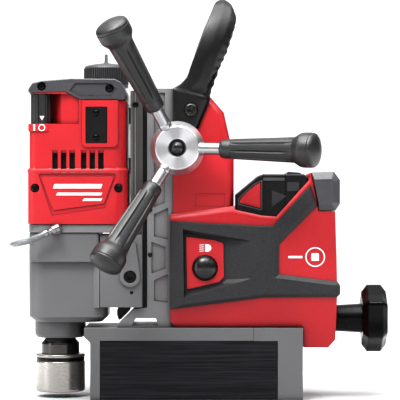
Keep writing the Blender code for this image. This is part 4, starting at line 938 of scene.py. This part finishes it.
def make_battery():
    side = rounded([(39.7, 112), (39.7, 205.4), (62.5, 224.5), (67, 226), (108, 226), (112, 222),
        (112, 112)], 2.2)
    body = prism(side, -39.5, 39.5, "Y", 1.8, 3)
    cuts = [prism(LATCH_WINDOW, *span(sign, 33, 60)) for sign, _ in SIDES]
    cuts += [slabbed((61, -18, 105), (89, 18, 121)), slabbed((70, -30, 224.2), (86, 30, 240), 0.6)]
    for sign, _ in SIDES:
        for x0, x1 in ((66.4, 67.6), (88.6, 89.6)):
            cuts.append(prism([(x0, 150), (x1, 150), (x1, 230), (x0, 230)], *span(sign, 38.7, 60)))
    piece("pack_case", ease(cut(body, *cuts), 0.5, 35, 2), "black", "battery", ["battery_case"], 40)
    crown = rounded([(90.5, 220), (90.5, 227.0), (92.5, 228.6), (104, 227.6), (108.5, 224), (108.5, 220)],
        1.0)
    piece("pack_crown", prism(crown, -34, 34, "Y", 1.0), "grey", "battery")
    swell = rounded([(45.6, 198.2), (62.6, 193.8), (62.6, 211.6), (57.4, 208.8), (52.2, 204.9),
        (48.0, 201.2)], 1.2, 6)
    for sign, tag in SIDES:
        rail = block_outline(66.8, 88.4, 219.4, 222.4, 0.5)
        piece("pack_rail_" + tag, prism(rail, *span(sign, 38.9, 40.1)), "grey", "battery")
        # A raised frame round the latch, in a grey lighter than the pack: partly a real frame and partly a
        # painted highlight along its rim.
        trim = prism(rounded(inset(LATCH_WINDOW, -1.3), 1.2), *span(sign, 39.2, 40.1))
        trim = ease(cut(trim, prism(LATCH_WINDOW, *span(sign, 30, 50))), 0.25, 40)
        piece("latch_frame_highlight_" + tag, trim, "cap", "battery")
        # Painted light: a dark grey patch, lighter than the black case, stands for the lit inner wall of the
        # pack's well.
        flank = rounded([(75.5, 210), (90.5, 204), (75.5, 193)], 0.8)
        piece("pack_lit_wall_" + tag, prism(flank, *span(sign, 38.9, 39.9)), "skin", "battery")
        patch = block_outline(91, 103, 209, 218, 0.8)
        piece("pack_patch_" + tag, prism(patch, *span(sign, 38.9, 40.0)), "skin", "battery")
        plate = ease(prism(rounded(LATCH_SIDE, 0.8), *span(sign, 36.5, 39.9)), 0.4, 40)
        piece("latch_pad_" + tag, plate, "red", "latch_" + tag, ["battery_latch_" + tag], 45)
        bulge = ease(prism(swell, *span(sign, 39.4, 40.4)), 0.4, 40)
        piece("latch_bulge_" + tag, bulge, "red", "latch_" + tag)


# Carry handle

FRONT_LINE = [(272, -23.9), (311.9, -23.9), (316, -16.5), (319.5, -12.8), (323, -9.9), (327, -8.1),
              (331, -7.0), (387.5, 13.3), (405, 19.6)]
REAR_LINE = [(272, 2.0), (301, 13.8), (307, 13.2), (332, 22.5), (360, 32.4), (385, 39.6), (392, 40.2),
             (405, 39.6)]
CROWN_LINE = [(12, 383.4), (14.6, 391.2), (16.6, 396.4), (18.6, 400.4), (20.8, 403.1), (23.6, 404.4),
              (27, 404.2), (31, 402.9), (35, 400.2), (38, 396.8), (40, 392), (41.0, 385)]
# Across the handle from its front edge to its rear edge: share of the width, and depth in millimetres
# below the outer surface, or above the inner surface where the depth is negative
HANDLE_SECTION = [(0.0, 2.8), (0.004, 2.2), (0.014, 1.7), (0.032, 1.35), (0.07, 1.15), (0.20, 0.7),
    (0.42, 0.0), (0.52, 0.55), (0.64, 1.25), (0.75, 1.9), (0.79, 2.2), (0.83, 2.9), (0.90, 4.6),
    (0.97, 6.2), (1.0, 7.2), (1.0, -2.0), (0.98, -0.9), (0.93, -0.2), (0.85, -0.001), (0.5, -0.001),
    (0.15, -0.001), (0.07, -0.2), (0.02, -0.9), (0.0, -2.0)]


def along_line(line, at):
    """Value read off a list of (position, value) pairs, straight between them."""
    for (a, low), (b, high) in zip(line, line[1:]):
        if at <= b:
            return low + (high - low) * max(0.0, (at - a) / (b - a))
    return line[-1][1]


def rib_depth(z):
    """How far the eight finger ribs stand back from the handle's rear edge."""
    if not 309 < z < 386:
        return 0.0
    t = (386 - z) / 77
    swell = 1.1 * math.sin(math.pi * min(1.0, t * 5, (1 - t) * 8) / 2)
    return swell * (1 - math.cos(2 * math.pi * 8.2 * t)) / 2


def handle_side(x, z):
    """How far the leg's outer face stands from the middle plane at a point of the side view."""
    rise = z - (311.4 - 0.2565 * (x + 26))
    if rise < 2.4:
        return 44.6 - 0.55 * max(0.0, rise)
    return 43.3 + 0.4 * min(1.0, (rise - 2.4) / 30.0)


def handle_stations():
    """Outer and inner (y, z) along half of the handle. The legs take their outer y from handle_side."""
    stations = []
    for z in [272 + 68 * k / 60 for k in range(60)]:
        t = min(1.0, max(0.0, (z - 312) / 28))
        stations.append((None, z, 38.3 - 4.3 * t * t * (3 - 2 * t), z))
    for turn in [k / 44 * math.pi / 2 for k in range(45)]:
        stations.append((8.5 + 35.2 * math.cos(turn), 340 + 64.5 * math.sin(turn),
                         8.5 + 25.5 * math.cos(turn), 340 + 36 * math.sin(turn)))
    return stations + [(4.2, 404.5, 4.2, 376.0), (0.0, 404.5, 0.0, 376.0)]


def handle_ring(side, outer_y, outer_z, inner_y, inner_z):
    ring = []
    for share, depth in HANDLE_SECTION:
        height = outer_z if depth >= 0 else inner_z
        back = along_line(REAR_LINE, height) - (rib_depth(height) if share > 0.88 else 0.0)
        x = along_line(FRONT_LINE, height) * (1 - share) + back * share
        y = handle_side(x, height) if outer_y is None else outer_y
        top = min(outer_z, along_line(CROWN_LINE, x)) if outer_z > 380 else outer_z
        start, end = Vector((y, top)), Vector((inner_y, inner_z))
        spot = (start if depth >= 0 else end) + (end - start).normalized() * depth
        ring.append((x, side * spot.x, spot.y))
    return ring


def make_handle():
    half = handle_stations()
    path = [(-1, station) for station in half] + [(1, station) for station in reversed(half[:-1])]
    body = loft([handle_ring(side, *station) for side, station in path])
    seats = [rod(*HANDLE_BOLT, radius, *span(side, near, 60), "Y", steps)
             for side, _ in SIDES for radius, near, steps in ((7.4, 42.2, 48), (4.3, 30, 32))]
    piece("handle_loop", cut(body, *seats), "hand", "stand", ["carry_handle"], 38)
    bolt = softened([(0, 33.6), (4.0, 33.6), (4.0, 42.4), (6.9, 42.4), (6.9, 44.6), (6.2, 45.6), (5.0, 46.2),
                     (3.5, 46.3), (3.2, 45.9), (3.0, 43.4), (0, 43.2)], 0.3)

    def torx(radius, distance, turn):
        in_socket = distance > 43.3 and radius < 3.6
        return radius * (1 + 0.13 * math.cos(6 * turn)) if in_socket else radius
    for side, tag in SIDES:
        x, z = HANDLE_BOLT
        piece("torx_" + tag, lathe(bolt, (x, 0, z), (0, side, 0), 72, torx), "bolt", "stand",
              ["handle_bolt_" + tag], 35)
        piece("torx_seat_" + tag, washer((x, side * 42.2, z), 6.95, 7.35, 3.2, (0, side, 0)), "dome",
              "stand")


# Coolant bottle and hose

# The hose's route in metres, from the fitting round the gear case to the bottle
HOSE_ROUTE = [(-0.1480, -0.0546, 0.1674), (-0.1575, -0.0556, 0.1632), (-0.1685, -0.0535, 0.1589),
              (-0.1790, -0.0450, 0.1562), (-0.1853, -0.0300, 0.1550), (-0.1874, -0.0100, 0.1548),
              (-0.1870, 0.0120, 0.1552), (-0.1835, 0.0340, 0.1560), (-0.1740, 0.0535, 0.1570),
              (-0.1590, 0.0680, 0.1576), (-0.1410, 0.0760, 0.1578), (-0.1230, 0.0775, 0.1586),
              (-0.1090, 0.0772, 0.1626), (-0.0996, 0.0770, 0.1696), (-0.09605, 0.0770, 0.1775),
              (-0.0960, 0.0770, 0.1834)]
BOTTLE = Vector((-96.0, 77.0, 0))


def smooth_route(knots, parts):
    """Catmull-Rom curve through the knots, with PARTS steps between neighbours."""
    knots = [Vector(knot) for knot in knots]
    ends = [2 * knots[0] - knots[1]] + knots + [2 * knots[-1] - knots[-2]]
    points = []
    for p0, p1, p2, p3 in zip(ends, ends[1:], ends[2:], ends[3:]):
        for t in [k / parts for k in range(parts)]:
            points.append(0.5 * (2 * p1 + (p2 - p0) * t + (2 * p0 - 5 * p1 + 4 * p2 - p3) * t ** 2
                                 + (3 * p1 - p0 - 3 * p2 + p3) * t ** 3))
    return points + [knots[-1]]


def make_hose():
    points = smooth_route(HOSE_ROUTE, 5)
    data = bpy.data.curves.new("hose_line", "CURVE")
    data.dimensions = "3D"
    data.bevel_depth = 0.003
    data.bevel_resolution = 5
    data.use_fill_caps = True
    line = data.splines.new("POLY")
    line.points.add(len(points) - 1)
    for knot, spot in zip(line.points, points):
        knot.co = (*spot, 1.0)
    data.materials.append(LOOKS["tube"])
    hose = placed("hose_line", data)
    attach(hose, "carriage")
    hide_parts("coolant_hose")


def make_fitting():
    start = Vector(HOSE_ROUTE[0]) / MM
    along = (start - Vector(HOSE_ROUTE[1]) / MM).normalized()
    barb = [(0, 0.3), (2.2, 0.3), (2.3, 0.9), (3.3, 2.4), (3.3, 2.7), (2.9, 3.0), (2.9, 4.4), (4.2, 4.8),
            (4.6, 5.4), (4.6, 7.6), (4.1, 7.9), (4.1, 8.5), (4.6, 8.8), (4.6, 12.1), (4.2, 12.5), (0, 12.5)]
    piece("fitting_barb", lathe(barb, start, along, 40), "fitting", "carriage", ["hose_fitting"])
    elbow = start + along * 9.0
    stub = softened([(0, -54.7), (3.7, -54.7), (4.5, -53.4), (4.5, -45.9), (0, -45.9)], 0.5)
    nut = [(elbow.x + 5.6 * math.cos(t), elbow.z + 5.6 * math.sin(t))
           for t in [math.pi * k / 3 + 0.2 for k in range(6)]]
    clip = [(3.05, -3.4), (3.7, -3.4), (3.7, -0.6), (3.05, -0.6), (3.05, -3.4)]
    for name, bm in (("fitting_stub", lathe(stub, (elbow.x, 0, elbow.z), ACROSS, 40)),
                     ("fitting_nut", prism(nut, -49.4, -46.0, "Y", 0.4)),
                     ("hose_clip", lathe(clip, start, along, 40))):
        piece(name, bm, "fitting", "carriage")


def make_bottle():
    shell = softened([(0, 184.1), (3.2, 184.1), (3.2, 192), (8, 195), (22, 198), (26, 204), (26, 226),
                      (25.2, 228), (25.2, 246), (26, 248), (26, 277), (25.2, 279), (25.2, 299), (26, 301),
                      (26, 310), (23, 316), (19, 318), (19, 326), (0, 326)], 1.6)
    piece("bottle_shell", lathe(shell, BOTTLE, UP, 72), "bottle", "carriage", ["coolant_bottle"])
    cap = [(19.6, 318.6), (23.2, 318.6), (23.6, 319.2), (23.6, 321.2), (23.3, 321.6), (23.3, 322.0),
           (23.3, 338.6), (23.3, 339.2), (22.9, 340.6), (21.6, 341.8), (19, 342.6), (12, 343.9), (5, 344.7),
           (2.4, 345.3), (1.7, 346.4), (1.6, 353.8), (1.2, 354.4), (0, 354.4)]

    def ribbed(radius, distance, turn):
        if not 321.8 < distance < 339.0:
            return radius
        return radius + 0.45 * (1 if math.cos(66 * turn) > 0 else -1)
    piece("bottle_crown", lathe(cap, BOTTLE, UP, 396, ribbed), "cap", "carriage", ["bottle_cap"], 40)
    plate = prism([(-112, 222), (-80, 222), (-80, 303), (-112, 303)], 47.6, 50.6, "Y", 0.7)
    bands = [lathe([(26.3, low), (28.5, low), (28.9, low + 0.5), (28.9, high - 0.5), (28.5, high),
                    (26.3, high), (26.3, low)], BOTTLE, UP, 80)
             for low, high in ((229.5, 244.5), (280.5, 297.5))]
    body = cut(cut(plate, *bands, operation="UNION"), rod(BOTTLE.x, BOTTLE.y, 26.7, 215, 310, "Z", 80))
    piece("cradle_body", body, "black", "carriage", ["bottle_cradle"], 40)
    lug_line = block_outline(-101, -91, 104.2, 110.6, 1.5)
    for number, height in enumerate((237.0, 289.0), start=1):
        lug = prism(lug_line, height - 5.5, height + 5.5, "Z", 0.8)
        piece("band_lug_%d" % number, lug, "black", "carriage")
        screw_head("band_screw_%d" % number, (-90.9, 107.6, height), (1, 0, 0), 2.6)
    tick = arc(BOTTLE.x, BOTTLE.y, 26.05, 50, 76, 13) + arc(BOTTLE.x, BOTTLE.y, 25.6, 76, 50, 13)
    for number, height in enumerate((250.0, 262.0, 274.0), start=1):
        piece("level_tick_%d" % number, prism(tick, height, height + 0.8, "Z"), "grey", "carriage")


# Bracket, slide and column details

CLAMP_BOLT = Vector((-66.5, 0, 123))


def make_bracket():
    section = rounded([(-97.2, -42), (-54.3, -42), (-54.3, -33.3), (-66.8, -33.3), (-66.8, 33.3),
                       (-54.3, 33.3), (-54.3, 42), (-97.2, 42)], 1.6)
    body = prism(section, 92.3, 165, "Z", 0.8)
    boss = arc(CLAMP_BOLT.x, CLAMP_BOLT.z, 10.5, 170, 370, 40) + [(-60.6, 157), (-64.6, 157)]
    body = cut(body, *[ease(prism(boss, *span(side, 41, 44.8)), 1.4, 40) for side, _ in SIDES],
               operation="UNION")
    seat = softened([(0, 32), (3.6, 32), (3.6, 38.5), (6.1, 38.5), (6.1, 44.0), (7.2, 45.2), (7.2, 60),
                     (0, 60)], 0.2)
    cuts = [slabbed((-92, -36, 99), (-71.5, 36, 180), 2.0)]
    for side, _ in SIDES:
        cuts += [lathe(seat, CLAMP_BOLT, (0, side, 0), 56),
                 rod(-65, 107.3, 1.9, *span(side, 38.5, 50), "Y", 24)]
    piece("clamp_body", cut(body, *cuts), "cast", "carriage", ["slide_bracket"], 40)
    bolt = softened([(0, 33.6), (3.3, 33.6), (3.3, 38.8), (5.6, 38.8), (5.6, 43.8), (5.2, 44.2), (3.0, 44.2),
                     (2.7, 43.9), (2.7, 41.5), (0, 41.5)], 0.2)

    def hexed(radius, distance, turn):
        in_socket = distance > 41.4 and radius < 3.1
        return radius / math.cos((turn % (math.pi / 3)) - math.pi / 6) * 0.92 if in_socket else radius
    grub = [(0, 40.4), (1.0, 40.4), (1.0, 41.2), (1.7, 41.2), (1.7, 39), (0, 39)]
    for side, tag in SIDES:
        stands = ["bracket_bolt"] if side < 0 else []
        piece("clamp_bolt_" + tag, lathe(bolt, CLAMP_BOLT, (0, side, 0), 72, hexed), "oxide", "carriage",
              stands, 30)
        piece("grub_screw_" + tag, lathe(grub, (-65, 0, 107.3), (0, side, 0), 24), "oxide", "carriage")


def make_column_details():
    """Gib adjusting screws along the column's sides, the work light's lens and the slide's stop."""
    for side, tag in SIDES:
        for number, height in enumerate((145.0, 190.0, 290.0), start=1):
            name = "gib_screw_%s_%d" % (tag, number)
            screw_head(name, (-46.6, side * 36.0, height), (0, side, 0), 2.2, "stand")
    lens = rounded([(-77.4, 79.3), (-68.4, 88.2), (-68.0, 87.6), (-76.8, 78.6)], 0.2)
    piece("light_lens", prism(lens, -13, 13, "Y", 0.2), "lens", "stand")
    stop = softened([(0, -34.6), (2.2, -34.6), (2.6, -34.2), (2.6, -33.2), (3.0, -33.0), (3.0, 33.0),
                     (2.6, 33.2), (2.6, 34.2), (2.2, 34.6), (0, 34.6)], 0.2)
    piece("stop_pin", lathe(stop, (-61.5, 0, 296), ACROSS, 40), "oxide", "carriage")
    # Painted highlight: thin polished strips along the slide's face stand for the bright lines on its edges.
    for x in (-61.6, -65.0):
        edge = slabbed((x - 0.35, -33.25, 93), (x + 0.35, -32.9, 309.5), 0.1)
        piece("slide_highlight_strip_%d" % round(-x), edge, "rod", "carriage")
    nut = prism(circle(FEED.x, FEED.z, 9.6, 6), 36.6, 42.0, "Y", 0.6)
    piece("shaft_nut", cut(nut, rod(FEED.x, FEED.z, 3.0, 39, 50, "Y")), "oxide", "feed_hub")


for make in (make_camera, make_studio, dress_nodes, make_arms, make_motor, make_top_cap, make_switch,
             make_gear_case, make_chuck, make_knob, make_housing, make_battery, make_handle, make_hose,
             make_fitting, make_bottle, make_bracket, make_column_details):
    make()
